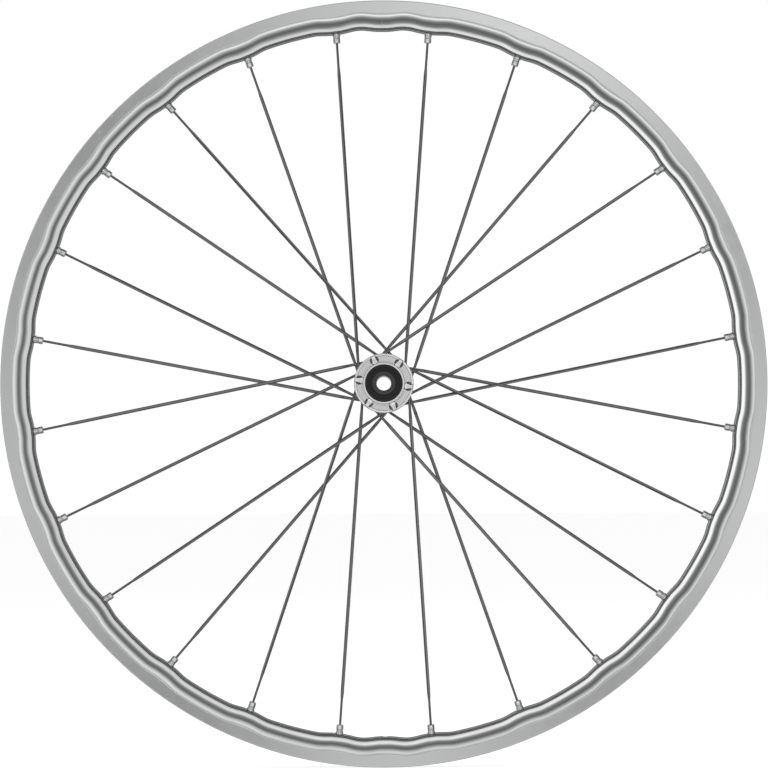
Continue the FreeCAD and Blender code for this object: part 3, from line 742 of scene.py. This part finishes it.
@dataclass
class Rim:
    """The hollow rim's skin, tyre channel outside, with the milled wave along its nose.

    All sizes are millimetres. pad_angles are degrees round the wheel where the nose keeps its
    full depth.
    """

    lacing: Lacing
    radius: float = 317.0
    half_width: float = 10.8
    edge_round: float = 0.7
    bead_seat: float = 311.0
    tyre_half_width: float = 8.5
    ledge_half_width: float = 5.5
    well_radius: float = 307.8
    well_half_width: float = 3.8
    shoulder_start: float = 307.8
    shoulder_start_slope: float = 10.0
    nose_radius: float = 293.25
    nose_round: float = 8.5
    nose_half_width: float = 5.75
    shoulder_round: float = 30.7
    shoulder_centre: tuple[float, float] = (313.03, -19.46)
    shoulder_end_slope: float = 34.8
    pad_height: float = 1.65
    pad_flat: float = 0.6
    pad_fade: float = 3.65
    pad_blend: float = 1.2
    valve_hole_radius: float = 3.25
    insert_hole_radius: float = 3.52
    steps: int = 720

    def pad_angles(self) -> np.ndarray:
        """Every spoke hole, the seam at the top and the valve hole at the bottom."""
        holes = [self.lacing.hole_angle(number) for number in self.lacing.numbers()]
        return np.array([*holes, 0.0, 180.0])

    def pad_share(self, degrees: np.ndarray) -> np.ndarray:
        """1 on a pad, 0 between pads, with a smooth step from pad_flat to pad_fade degrees."""
        apart = (degrees[:, None] - self.pad_angles()[None, :] + 180.0) % 360.0 - 180.0
        nearest = np.abs(apart).min(axis=1)
        return 1.0 - smooth_step((nearest - self.pad_flat) / (self.pad_fade - self.pad_flat))

    def half_nose(self) -> np.ndarray:
        """The nose from its tip to the sidewall, as (radius, half width) points.

        The tip is an arc of nose_round about (nose_radius + nose_round, 0), out to its half
        width. The shoulder is an arc of shoulder_round about shoulder_centre, from where its
        normal leans shoulder_end_slope degrees from the spin axis to shoulder_start_slope.
        """
        tip = np.linspace(0.0, math.asin(self.nose_half_width / self.nose_round), 10)
        centre = self.nose_radius + self.nose_round
        nose = np.stack([centre - self.nose_round * np.cos(tip), self.nose_round * np.sin(tip)], axis=-1)
        lean = np.radians(np.linspace(self.shoulder_end_slope, self.shoulder_start_slope, 12))[1:]
        from_middle, aside = self.shoulder_centre
        arc = self.shoulder_round * np.stack([-np.sin(lean), np.cos(lean)], axis=-1)
        return np.concatenate([nose, arc + np.array([from_middle, aside])])

    def half_outline(self) -> np.ndarray:
        """Half the section from the nose's tip round to the middle of the tyre well."""
        nose = self.half_nose()
        closing = [
            Corner(self.shoulder_start - 0.5, self.half_width - 0.5),
            Corner(self.shoulder_start, self.half_width, 0.9),
            Corner(self.radius, self.half_width, self.edge_round),
            Corner(self.radius, self.tyre_half_width - 0.3, 0.8),
            Corner(self.radius - 2.0, self.tyre_half_width - 0.25, 0.8),
            Corner(self.radius - 3.0, self.tyre_half_width, 0.6),
            Corner(self.bead_seat, self.tyre_half_width, 0.5),
            Corner(self.bead_seat, self.ledge_half_width, 0.8),
            Corner(self.well_radius, self.well_half_width, 0.8),
            Corner(self.well_radius, 0.0),
        ]
        walls = rounded_outline(closing, 5)
        return np.concatenate([nose[:-1], walls[1:]])

    def surface(self) -> Surface:
        """Sweep the section round the wheel, with the nose below the sidewall moved in on pads."""
        half = self.half_outline()
        mirrored = half[-2:0:-1] * np.array([1.0, -1.0])
        outline = split_long_sides(np.concatenate([half, mirrored]), 3.0)
        below = self.shoulder_start + self.pad_blend - outline[:, 0]
        moves = smooth_step(below / self.pad_blend)
        moves = np.where(self.on_channel(outline), 0.0, moves)
        angle = np.linspace(0.0, 2 * math.pi, self.steps, endpoint=False)
        depth = self.pad_height * self.pad_share(np.degrees(angle))
        radius = (outline[None, :, 0] - moves[None, :] * depth[:, None]) * MM
        turn = angle[:, None]
        along = outline[None, :, 1] * MM + 0 * turn
        return Surface(np.stack([radius * np.sin(turn), along, radius * np.cos(turn)], axis=-1))

    def on_channel(self, outline: np.ndarray) -> np.ndarray:
        """Which outline points belong to the tyre channel's floor."""
        return (np.abs(outline[:, 1]) <= self.tyre_half_width) & (outline[:, 0] > self.well_radius - 0.5)

    def cutters(self) -> list[Surface]:
        """The valve hole right through the bottom, and a hole for each insert."""
        holes = [bar([self.valve_hole_radius] * 2, [-self.radius, -self.nose_radius + 6.0], 48)]
        deep = self.half_width / 2
        for number in self.lacing.numbers():
            _, hole = self.lacing.line(number)
            plug = bar([self.insert_hole_radius] * 2, [-deep, deep], 40)
            holes.append(moved(plug, self.lacing.axes(number), hole))
        return holes

    def build(self, wardrobe: Wardrobe) -> None:
        """Make the rim's skin, drill it and dress it."""
        rim = skin_mesh("rim_hoop", [self.surface()], 28.0)
        cut_out(rim, self.cutters(), 28.0)
        settle(rim, "wheel", "rim")
        wardrobe.wear(rim, wardrobe.finishes.rim)


# ------------------------------------------------------------------ spokes and nipples


@dataclass
class Spokes:
    """Straight-pull bladed spokes, one piece each. Sizes are millimetres from the head's seat."""

    lacing: Lacing
    head_seat: float = 3.1
    head_radius: float = 2.2
    head_thickness: float = 1.4
    root_radius: float = 1.15
    root_length: float = 16.0
    taper: float = 9.0
    blade_half_width: float = 1.4
    blade_half_thickness: float = 0.45
    end_radius: float = 1.0
    round_end: float = 36.0
    past_hole: float = 2.0
    squareness: float = 2.1
    right_twist: float = 9.0
    left_twist: float = 4.0
    twist_spread: float = 5.0
    columns: int = 20

    def stations(self, length: float) -> np.ndarray:
        """Places along a spoke: close in the head and the tapers, wide on the blade."""
        head = -self.head_thickness * np.array([1.0, 0.95, 0.84, 0.68, 0.3, 0.07, 0.015])
        neck = np.array([0.0, 0.25, 0.6, 1.0])
        root = np.linspace(2.0, self.root_length, 5)
        taper_in = self.root_length + self.taper * np.linspace(0.1, 1.0, 10)
        blade = np.linspace(self.root_length + self.taper, length - self.round_end, 12)[1:]
        taper_out = length - self.round_end + self.taper * np.linspace(0.1, 1.0, 10)
        end = np.linspace(length - self.round_end + self.taper + 3.0, length, 4)
        return np.concatenate([head, neck, root, taper_in, blade, taper_out, end])

    def twist(self, number: int) -> float:
        """Radians that a blade's face is turned about the spoke, one way or the other.

        The spread is a sine of the spoke's number, so that no two neighbours catch the same light.
        """
        forwards = 1.0 if number % 4 in (0, 1) else -1.0
        middle = self.right_twist if number % 2 else self.left_twist
        return math.radians(forwards * middle + self.twist_spread * math.sin(2.4 * number))

    def half_sizes(self, place: np.ndarray, length: float) -> tuple[np.ndarray, np.ndarray]:
        """Half width and half thickness: smooth steps from root to blade to round end.

        The head is a disc with rounded rims that meets the root in a small fillet.
        """
        to_blade = smooth_step((place - self.root_length) / self.taper)
        to_end = smooth_step((place - (length - self.round_end)) / self.taper)
        width = self.root_radius + (self.blade_half_width - self.root_radius) * to_blade
        width += (self.end_radius - self.blade_half_width) * to_end
        thickness = self.root_radius + (self.blade_half_thickness - self.root_radius) * to_blade
        thickness += (self.end_radius - self.blade_half_thickness) * to_end
        rim_in = np.clip((place + self.head_thickness) / 0.45, 0.0, 1.0)
        rim_out = np.clip(-place / 0.3, 0.0, 1.0)
        crown = 0.72 + 0.28 * np.sqrt(1.0 - (1.0 - rim_in) ** 2)
        crown *= 0.9 + 0.1 * np.sqrt(1.0 - (1.0 - rim_out) ** 2)
        neck = self.root_radius + 0.35 * np.clip(1.0 - place, 0.0, 1.0) ** 2
        head = np.where(place < 0.0, self.head_radius * crown, neck)
        near_head = place < 1.0
        return np.where(near_head, head, width), np.where(near_head, head, thickness)

    def blade(self, number: int) -> Surface:
        """A spoke's skin: a squared ellipse at each station.

        With c and s the cosine and sine of the way round, a point is at half width times c and
        half thickness times s, each raised to 2 / squareness in size.
        """
        start, end = self.lacing.line(number)
        length = np.linalg.norm(end - start) / MM - self.head_seat + self.past_hole
        place = self.stations(length)
        width, thickness = self.half_sizes(place, length)
        flat = np.clip((np.abs(width - thickness)) / 0.6, 0.0, 1.0)
        power = (2.0 / (2.0 + (self.squareness - 2.0) * flat))[:, None]
        way = np.linspace(0.0, 2 * math.pi, self.columns, endpoint=False)[None, :]
        across = np.sign(np.cos(way)) * np.abs(np.cos(way)) ** power * width[:, None]
        through = np.sign(np.sin(way)) * np.abs(np.sin(way)) ** power * thickness[:, None]
        points = np.stack([across, through, place[:, None] + 0 * way], axis=-1) * MM
        axes = self.lacing.axes(number)
        seat = start + axes[:, 2] * self.head_seat * MM
        c, s = math.cos(self.twist(number)), math.sin(self.twist(number))
        turned = axes @ np.array([(c, -s, 0.0), (s, c, 0.0), (0.0, 0.0, 1.0)])
        return moved(Surface(points, Ends.CAPPED), turned, seat)

    def build(self, wardrobe: Wardrobe) -> None:
        """Make and dress all the spokes."""
        for number in self.lacing.numbers():
            spoke = skin_mesh(f"spoke_blade_{number:02d}", [self.blade(number)], 40.0)
            settle(spoke, "wheel", f"spoke_{number:02d}")
            wardrobe.wear(spoke, wardrobe.finishes.spoke)


@dataclass
class Nipples:
    """Splined nipples and their threaded inserts, in millimetres along the spoke.

    Zero is at the rim hole's mouth and the numbers grow outwards, into the rim.
    """

    lacing: Lacing
    bore: float = 1.02
    shank: float = 2.25
    lip: float = 3.1
    lip_start: float = -6.6
    lip_end: float = -2.3
    head: float = 2.9
    top: float = 5.5
    head_length: float = 2.5
    splines: int = 8
    spline_depth: float = 0.28
    insert_bore: float = 2.3
    neck: float = 2.95
    neck_start: float = -2.2
    collar: float = 3.35
    collar_start: float = -0.5
    thread: float = 3.5
    thread_start: float = 1.2
    columns: int = 64

    def nipple_outline(self) -> np.ndarray:
        """Round the nipple's section, from its bore out over the splined lip to its head."""
        far = self.top + self.head_length
        return rounded_outline(
            [
                Corner(self.bore, self.lip_start, 0.2),
                Corner(self.lip - 0.7, self.lip_start, 0.4),
                Corner(self.lip, self.lip_start + 0.8, 0.5),
                Corner(self.lip, self.lip_end - 0.35, 0.3),
                Corner(self.lip - 0.35, self.lip_end, 0.15),
                Corner(self.shank, self.lip_end, 0.1),
                Corner(self.shank, self.top, 0.1),
                Corner(self.head, self.top, 0.2),
                Corner(self.head, far, 0.6),
                Corner(self.bore, far, 0.2),
            ],
            4,
        )

    def insert_outline(self) -> np.ndarray:
        """Round the insert's section: neck, collar at the mouth, thread inside the rim."""
        return rounded_outline(
            [
                Corner(self.insert_bore, self.neck_start, 0.15),
                Corner(self.neck, self.neck_start, 0.3),
                Corner(self.neck, self.collar_start, 0.1),
                Corner(self.collar, self.collar_start, 0.15),
                Corner(self.collar, self.thread_start, 0.05),
                Corner(self.thread, self.thread_start, 0.2),
                Corner(self.thread, self.top, 0.2),
                Corner(self.insert_bore, self.top, 0.15),
            ],
            4,
        )

    def bush(self, outline: np.ndarray, splined: bool) -> Surface:
        """Turn an outline about Z; a splined lip's radius falls by a raised cosine in each flute."""
        way = np.linspace(0.0, 2 * math.pi, self.columns, endpoint=False)[:, None]
        radius = outline[None, :, 0] + 0 * way
        if splined:
            on_lip = (outline[:, 0] > self.shank + 0.05) & (outline[:, 1] < self.lip_end - 0.01)
            flute = 0.5 + 0.5 * np.cos(way * self.splines)
            radius = radius - on_lip[None, :] * self.spline_depth * flute**2
        along = outline[None, :, 1] + 0 * way
        points = np.stack([radius * np.cos(way), radius * np.sin(way), along], axis=-1)
        return Surface(points * MM)

    def laid_out(self, form: Surface) -> list[Surface]:
        """A copy of a form at every rim hole."""
        return [moved(form, self.lacing.axes(n), self.lacing.line(n)[1]) for n in self.lacing.numbers()]

    def build(self, wardrobe: Wardrobe) -> None:
        """Make and dress the nipples and the inserts."""
        nipple = self.bush(self.nipple_outline(), splined=True)
        nipples = skin_mesh("nipple_set", self.laid_out(nipple), 35.0)
        settle(nipples, "wheel", "nipples")
        wardrobe.wear(nipples, wardrobe.finishes.nipple)
        insert = self.bush(self.insert_outline(), splined=False)
        inserts = skin_mesh("rim_insert_set", self.laid_out(insert), 35.0)
        settle(inserts, "wheel", "rim_inserts")
        wardrobe.wear(inserts, wardrobe.finishes.insert)


# ------------------------------------------------------------------ hub


@dataclass
class HubShell:
    """The turned shell with its flanges, spoke pockets, tunnels and disc splines."""

    lacing: Lacing
    end: float = 43.0
    pocket_radius: float = 3.2
    pocket_flare: float = 0.6
    pocket_chamfer: float = 0.47
    right_pocket: tuple[float, float] = (-40.5, -30.7)
    left_pocket: tuple[float, float] = (17.0, 27.2)
    tunnel_radius: float = 1.45
    tunnel_length: float = 16.0
    head_bore: float = 2.3
    head_seat: float = 3.1
    spline_teeth: int = 36
    spline_floor: float = 16.3
    spline_half_gap: float = 0.7
    spline_span: tuple[float, float] = (33.0, 44.0)
    groove_half_width: float = 0.25
    groove_depth: float = 0.19
    steps: int = 360

    def groove(self, radius: float) -> list[Corner]:
        """A fine turned groove round the right flange's face."""
        half, floor = self.groove_half_width, -40.5 + self.groove_depth
        return [Corner(radius - half, -40.5), Corner(radius, floor), Corner(radius + half, -40.5)]

    def outline(self) -> np.ndarray:
        """The shell's section: outside from right to left, then back through the bore."""
        right, left = -self.end, self.end
        corners = [
            Corner(15.4, right, 0.15),
            Corner(17.4, right, 0.9),
            Corner(17.4, -40.5, 0.35),
            *self.groove(18.3),
            *self.groove(22.5),
            Corner(24.5, -40.5, 1.3),
            Corner(24.5, -30.5, 0.35),
            Corner(23.0, -29.0, 0.35),
            Corner(19.5, -29.0, 2.5),
            Corner(13.2, -22.0, 6.0),
            Corner(13.2, 17.0, 0.5),
            Corner(20.5, 17.0, 0.25),
            Corner(21.5, 18.0, 0.25),
            Corner(21.5, 28.0, 0.25),
            Corner(20.5, 29.0, 0.25),
            Corner(18.6, 29.0, 0.4),
            Corner(18.6, 33.0, 0.15),
            Corner(17.2, 33.0, 0.1),
            Corner(17.2, left - 0.9, 0.15),
            Corner(16.3, left, 0.1),
            Corner(15.0, left, 0.15),
            Corner(15.0, 41.0, 0.1),
            Corner(14.0, 41.0, 0.1),
            Corner(14.0, 34.0, 0.05),
            Corner(12.8, 34.0, 0.05),
            Corner(12.8, 33.0, 0.1),
            Corner(10.5, 30.7, 0.3),
            Corner(10.5, -30.7, 0.3),
            Corner(12.8, -33.0, 0.1),
            Corner(12.8, -34.0, 0.05),
            Corner(14.0, -34.0, 0.05),
            Corner(14.0, -41.0, 0.1),
            Corner(15.4, -41.0, 0.1),
        ]
        return split_long_sides(rounded_outline(corners, 4), 4.0)

    def pockets(self, side: Side) -> list[Surface]:
        """Six round pockets with a chamfered mouth, bored from the flange's open face."""
        mouth, floor = self.right_pocket if side is Side.RIGHT else self.left_pocket
        inward = 1.0 if floor > mouth else -1.0
        flare = self.pocket_radius + self.pocket_flare
        form = bar(
            [flare, flare, self.pocket_radius, self.pocket_radius - 0.3, 0.05],
            [-0.6, 0.0, self.pocket_chamfer, abs(floor - mouth) - 0.3, abs(floor - mouth)],
            48,
        )
        first = 1 if side is Side.RIGHT else 2
        bored = []
        for number in range(first, self.lacing.count + 1, 4):
            degrees = self.lacing.pocket_angle(number)
            place = wheel_point(self.lacing.pocket_circle[side], degrees, mouth)
            axes = np.stack([(1.0, 0.0, 0.0), (0.0, 0.0, -inward), (0.0, inward, 0.0)], axis=-1)
            bored.append(moved(form, axes, place))
        return bored

    def drilled(self, radius: float, length: float) -> list[Surface]:
        """A drilling along every spoke's line, from the middle of its pocket."""
        form = bar([radius] * 2, [0.0, length], 32)
        return [moved(form, self.lacing.axes(n), self.lacing.line(n)[0]) for n in self.lacing.numbers()]

    def spline_gaps(self) -> list[Surface]:
        """Straight-sided gaps between the disc splines, each a four-sided bar along Y."""
        start, stop = self.spline_span
        top = self.spline_floor + 2.0
        gaps = []
        for tooth in range(self.spline_teeth):
            degrees = 360.0 * tooth / self.spline_teeth
            out = wheel_point(1.0, degrees, 0.0) / MM
            across = wheel_point(1.0, degrees + 90.0, 0.0) / MM
            section = ((self.spline_floor, -1), (self.spline_floor, 1), (top, 1), (top, -1))
            ring = [out * radius + across * side * self.spline_half_gap for radius, side in section]
            ends = [np.array(ring) + np.array([0.0, y, 0.0]) for y in (start, stop)]
            gaps.append(Surface(np.array(ends) * MM, Ends.CAPPED))
        return gaps

    def build(self, wardrobe: Wardrobe) -> None:
        """Turn the shell, bore it, and dress it."""
        shell = skin_mesh("hub_body", [turned_ring(self.outline(), self.steps)], 30.0)
        cut_out(shell, self.pockets(Side.RIGHT) + self.pockets(Side.LEFT), 30.0)
        cut_out(shell, self.drilled(self.tunnel_radius, self.tunnel_length), 30.0)
        cut_out(shell, self.drilled(self.head_bore, self.head_seat), 30.0)
        cut_out(shell, self.spline_gaps(), 30.0)
        settle(shell, "wheel", "hub_shell")
        wardrobe.wear(shell, wardrobe.finishes.hub)


@dataclass
class AxleUnit:
    """The axle tube with a dust cover and an end cap on each side, in millimetres."""

    bore: float = 6.05
    end: float = 48.5
    seat: float = 7.5
    middle: float = 8.8
    race_face: float = 34.0
    cover_bore: float = 7.51
    cover_radius: dict = field(default_factory=lambda: {Side.RIGHT: 15.1, Side.LEFT: 14.7})
    cap_radius: float = 9.65
    cap_end: float = 50.0
    cap_socket: float = 7.55
    steps: int = 160

    def tube(self) -> np.ndarray:
        """The axle's section: thin at both ends, thick between the bearings."""
        half = [
            Corner(self.bore, self.end, 0.1),
            Corner(self.seat, self.end, 0.3),
            Corner(self.seat, self.race_face, 0.05),
            Corner(self.middle, self.race_face, 0.15),
        ]
        mirrored = [Corner(c.radius, -c.along, c.round) for c in reversed(half)]
        return rounded_outline(half + mirrored, 4)

    def cover(self, side: Side) -> np.ndarray:
        """A dust cover's section: stepped disc with a fine groove, on a short sleeve."""
        s, rim = side.value, self.cover_radius[side]
        places = [
            (self.cover_bore, 43.8, 0.05),
            (11.35, 43.8, 0.15),
            (11.6, 43.3, 0.1),
            (12.6, 43.3, 0.08),
            (12.75, 43.12, 0.05),
            (13.05, 43.12, 0.05),
            (13.2, 43.3, 0.08),
            (rim, 43.3, 0.35),
            (rim, 41.9, 0.1),
            (9.2, 41.9, 0.1),
            (9.2, 41.0, 0.05),
            (self.cover_bore, 41.0, 0.05),
        ]
        return rounded_outline([Corner(r, s * y, f) for r, y, f in places], 4)

    def cap(self, side: Side) -> np.ndarray:
        """An end cap's section: flat nose, grip groove round its barrel, socket and ring groove."""
        s = side.value
        places = [
            (self.bore, self.cap_end, 0.35),
            (self.cap_radius, self.cap_end, 0.4),
            (self.cap_radius, 47.9, 0.1),
            (self.cap_radius - 0.35, 47.6, 0.15),
            (self.cap_radius - 0.35, 46.9, 0.15),
            (self.cap_radius, 46.6, 0.1),
            (self.cap_radius, 43.8, 0.15),
            (self.cap_socket, 43.8, 0.05),
            (self.cap_socket, 45.45, 0.05),
            (8.45, 45.45, 0.05),
            (8.45, 46.55, 0.05),
            (self.cap_socket, 46.55, 0.05),
            (self.cap_socket, 48.7, 0.05),
            (self.bore, 48.7, 0.05),
        ]
        return rounded_outline([Corner(r, s * y, f) for r, y, f in places], 4)

    def build(self, wardrobe: Wardrobe) -> None:
        """Make and dress the tube, covers and caps."""
        tube = skin_mesh("axle_tube", [turned_ring(split_long_sides(self.tube(), 6.0), self.steps)])
        settle(tube, "axle_unit", "axle")
        wardrobe.wear(tube, wardrobe.finishes.axle)
        for side in Side:
            cover = skin_mesh(f"{side.word}_cover_disc", [turned_ring(self.cover(side), self.steps)])
            settle(cover, "axle_unit", f"{side.word}_dust_cover")
            wardrobe.wear(cover, wardrobe.finishes.cover)
            cap = skin_mesh(f"{side.word}_cap_shell", [turned_ring(self.cap(side), self.steps)])
            settle(cap, f"{side.word}_cap", f"{side.word}_end_cap")
            wardrobe.wear(cap, wardrobe.finishes.cap)


@dataclass
class Bearings:
    """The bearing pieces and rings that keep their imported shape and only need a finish."""

    nodes: dict[str, bpy.types.Object]

    def endings(self, finishes: Finishes) -> dict[str, Finish]:
        """The end of a node's name -> its finish."""
        return {
            "race": finishes.race,
            "balls": finishes.ball,
            "cage": finishes.cage,
            "seal": finishes.seal,
            "o_ring": finishes.o_ring,
        }

    def build(self, wardrobe: Wardrobe) -> None:
        """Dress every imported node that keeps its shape."""
        for name, node in self.nodes.items():
            for ending, finish in self.endings(wardrobe.finishes).items():
                if name.endswith(ending):
                    wardrobe.wear(node, finish)
                    log.info("%s: packed shape, %s", name, finish.name)


# ------------------------------------------------------------------ studio


@dataclass(frozen=True)
class Strip:
    """One upright strip of the tent round the wheel: its share of the light ring and the wall.

    towards is where its middle stands, in degrees round the spin axis, clockwise from the top as
    seen along +Y. The ends are leans, the degrees that a direction leans away from the spin axis,
    the same on both sides of the wheel. The ring and the wall are at half brightness there.
    """

    towards: float
    ring: float
    ring_end: float
    wall: float
    wall_start: float
    wall_end: float


@dataclass
class Studio:
    """Pale floor, a soft tent of light and the camera, square on to the wheel's right side.

    Polished metal shows whatever surrounds it, so the tent is what shapes the rim: a grey mouth
    round the spin axis, a light ring, a dark gap, a white wall and a dark seam between its halves.
    """

    wheel_radius: float
    camera_distance: float = 4.0
    camera_drop: float = 0.048
    camera_roll: float = -0.26
    aim: tuple[float, float, float] = (0.00013, -0.0108, -0.00032)
    frame_half_width: float = 0.31725
    sensor_width: float = 36.0
    floor_reach: float = 14.0
    mouth: float = 9.0
    gap: float = 0.12
    seam: float = 0.07
    horizon: float = 0.45
    fans: tuple[tuple[float, float], ...] = (
        (0.0, 0.67),
        (20.0, 0.85),
        (60.0, 0.4),
        (100.0, 0.7),
        (135.0, 0.3),
        (180.0, 0.7),
        (215.0, 0.25),
        (260.0, 0.6),
        (320.0, 0.3),
        (360.0, 0.67),
    )
    strips: tuple[Strip, ...] = (
        Strip(0.0, ring=0.8, ring_end=31.0, wall=1.0, wall_start=49.0, wall_end=60.0),
        Strip(60.0, ring=1.0, ring_end=31.0, wall=0.75, wall_start=50.0, wall_end=64.0),
        Strip(120.0, ring=0.9, ring_end=31.0, wall=0.8, wall_start=46.0, wall_end=64.0),
        Strip(180.0, ring=1.15, ring_end=26.0, wall=0.85, wall_start=52.0, wall_end=65.0),
        Strip(240.0, ring=0.95, ring_end=29.0, wall=1.25, wall_start=50.0, wall_end=63.0),
        Strip(300.0, ring=0.85, ring_end=29.0, wall=1.25, wall_start=51.0, wall_end=65.0),
    )

    def tones(self, strip: Strip) -> list[tuple[float, float]]:
        """A strip's (lean, brightness) stops: light ring, dark gap, white wall, dark seam."""
        return [
            (12.0, 0.8 * strip.ring),
            (18.0, strip.ring),
            (strip.ring_end - 4.0, 0.8 * strip.ring),
            (strip.ring_end + 4.0, 0.2 * strip.ring),
            (38.0, self.gap),
            (strip.wall_start - 3.0, 2.0 * self.gap),
            (strip.wall_start + 3.0, strip.wall),
            (strip.wall_end - 3.0, 0.9 * strip.wall),
            (strip.wall_end + 4.0, 0.15 * strip.wall),
            (75.0, self.seam),
            (84.0, self.seam),
            (88.0, self.horizon),
        ]

    def camera(self) -> None:
        """A long lens whose frame is frame_half_width each way at the rim's near face."""
        data = bpy.data.cameras.new("camera")
        data.sensor_width = self.sensor_width
        distance = self.camera_distance + self.aim[1]
        data.lens = data.sensor_width / 2 * distance / self.frame_half_width
        data.clip_end = 60.0
        camera = bpy.data.objects.new("camera", data)
        camera.location = (0.0, -self.camera_distance, -self.camera_drop)
        aim = Vector(self.aim) - camera.location
        upright = aim.to_track_quat("-Z", "Y")
        roll = Quaternion((0.0, 0.0, 1.0), math.radians(self.camera_roll))
        camera.rotation_euler = (upright @ roll).to_euler()
        bpy.context.scene.collection.objects.link(camera)
        bpy.context.scene.camera = camera

    def floor(self) -> None:
        """A pale floor that the rim just touches, left out of the metal's reflections."""
        corners = np.array([(-1, -1), (1, -1), (1, 1), (-1, 1)]) * self.floor_reach
        mesh = bpy.data.meshes.new("floor")
        mesh.from_pydata([(x, y, -self.wheel_radius) for x, y in corners.tolist()], [], [(0, 1, 2, 3)])
        floor = bpy.data.objects.new("floor", mesh)
        bpy.context.scene.collection.objects.link(floor)
        floor.visible_glossy = False
        paint = bpy.data.materials.new("floor_paint")
        paint.use_nodes = True
        surface = paint.node_tree.nodes["Principled BSDF"]
        surface.inputs["Base Color"].default_value = grey(0.4)
        surface.inputs["Roughness"].default_value = 0.9
        surface.inputs["Emission Color"].default_value = grey(1.0)
        surface.inputs["Emission Strength"].default_value = 0.8
        mesh.materials.append(paint)
        floor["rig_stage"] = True

    def tent(self, shader: Shader) -> Channel:
        """Brightness of the tent in every direction.

        lean is the arc cosine of the size of the direction's Y. Each strip counts by one less the
        share of the way to its neighbour, so the strips blend round the axis. Within the mouth
        the fans take over.
        """
        direction = shader.node("ShaderNodeTexCoord", output="Generated")
        x, y, z = shader.parts(direction)
        per_radian = 180.0 / math.pi
        lean = shader.node("ShaderNodeMath", {"operation": "ARCCOSINE"}, {0: y.size()}) * per_radian
        turn = shader.node("ShaderNodeMath", {"operation": "ARCTAN2"}, {0: x, 1: z}) * per_radian
        spread = 360.0 / len(self.strips)
        total: Channel | None = None
        for strip in self.strips:
            stops = [(place / 90.0, tone) for place, tone in self.tones(strip)]
            tones = shader.node("ShaderNodeValToRGB", {"stops": stops}, {"Fac": lean / 90.0})
            apart = ((turn - strip.towards + 540.0) % 360.0 - 180.0).size()
            weight = shader.node(
                "ShaderNodeMapRange",
                {"clamp": True},
                {"Value": apart, "From Min": 0.0, "From Max": spread, "To Min": 1.0, "To Max": 0.0},
            )
            lit = tones * weight
            total = lit if total is None else total + lit
        fans = [(place / 360.0, tone) for place, tone in self.fans]
        round_share = ((turn + 360.0) % 360.0) / 360.0
        fan = shader.node("ShaderNodeValToRGB", {"stops": fans}, {"Fac": round_share})
        centre = lean.between(2.5, 0.5)
        fan = fan * (1.0 - centre) + centre * 0.62
        inside = lean.between(self.mouth, self.mouth * 0.7)
        return fan * inside + total * (1.0 - inside)

    def light(self) -> None:
        """The tent, seen as plain white by the camera, plus a soft panel overhead."""
        world = bpy.data.worlds.new("tent")
        bpy.context.scene.world = world
        world.use_nodes = True
        shader = Shader(world.node_tree)
        seen = shader.node("ShaderNodeLightPath", output="Is Camera Ray")
        tone = self.tent(shader) * (1.0 - seen) + seen
        back = shader.node("ShaderNodeBackground", None, {"Color": tone, "Strength": 1.0})
        shader.node("ShaderNodeOutputWorld", None, {"Surface": back})
        panel = bpy.data.lights.new("overhead_panel", "AREA")
        panel.shape = "RECTANGLE"
        panel.size, panel.size_y = 3.0, 3.0
        panel.energy = 60.0
        above = bpy.data.objects.new("overhead_panel", panel)
        above.location = (0.4, -0.6, 3.0)
        above.visible_glossy = False
        bpy.context.scene.collection.objects.link(above)
        bpy.context.scene.view_settings.view_transform = "Standard"

    def build(self) -> None:
        """Set up everything that isn't the object."""
        self.camera()
        self.floor()
        self.light()


def main(packed: dict) -> None:
    """Build every sub-assembly in order.
    """
    logging.basicConfig(level=logging.INFO, format="%(name)s %(message)s")
    cad_low, cad_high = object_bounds()
    lacing = Lacing()
    wardrobe = Wardrobe(Finishes())
    Studio(wheel_radius=cad_high.z).build()
    Rim(lacing).build(wardrobe)
    Spokes(lacing).build(wardrobe)
    Nipples(lacing).build(wardrobe)
    HubShell(lacing).build(wardrobe)
    AxleUnit().build(wardrobe)
    Bearings(packed["nodes"]).build(wardrobe)


if __name__ == "__main__":
    main(frame)
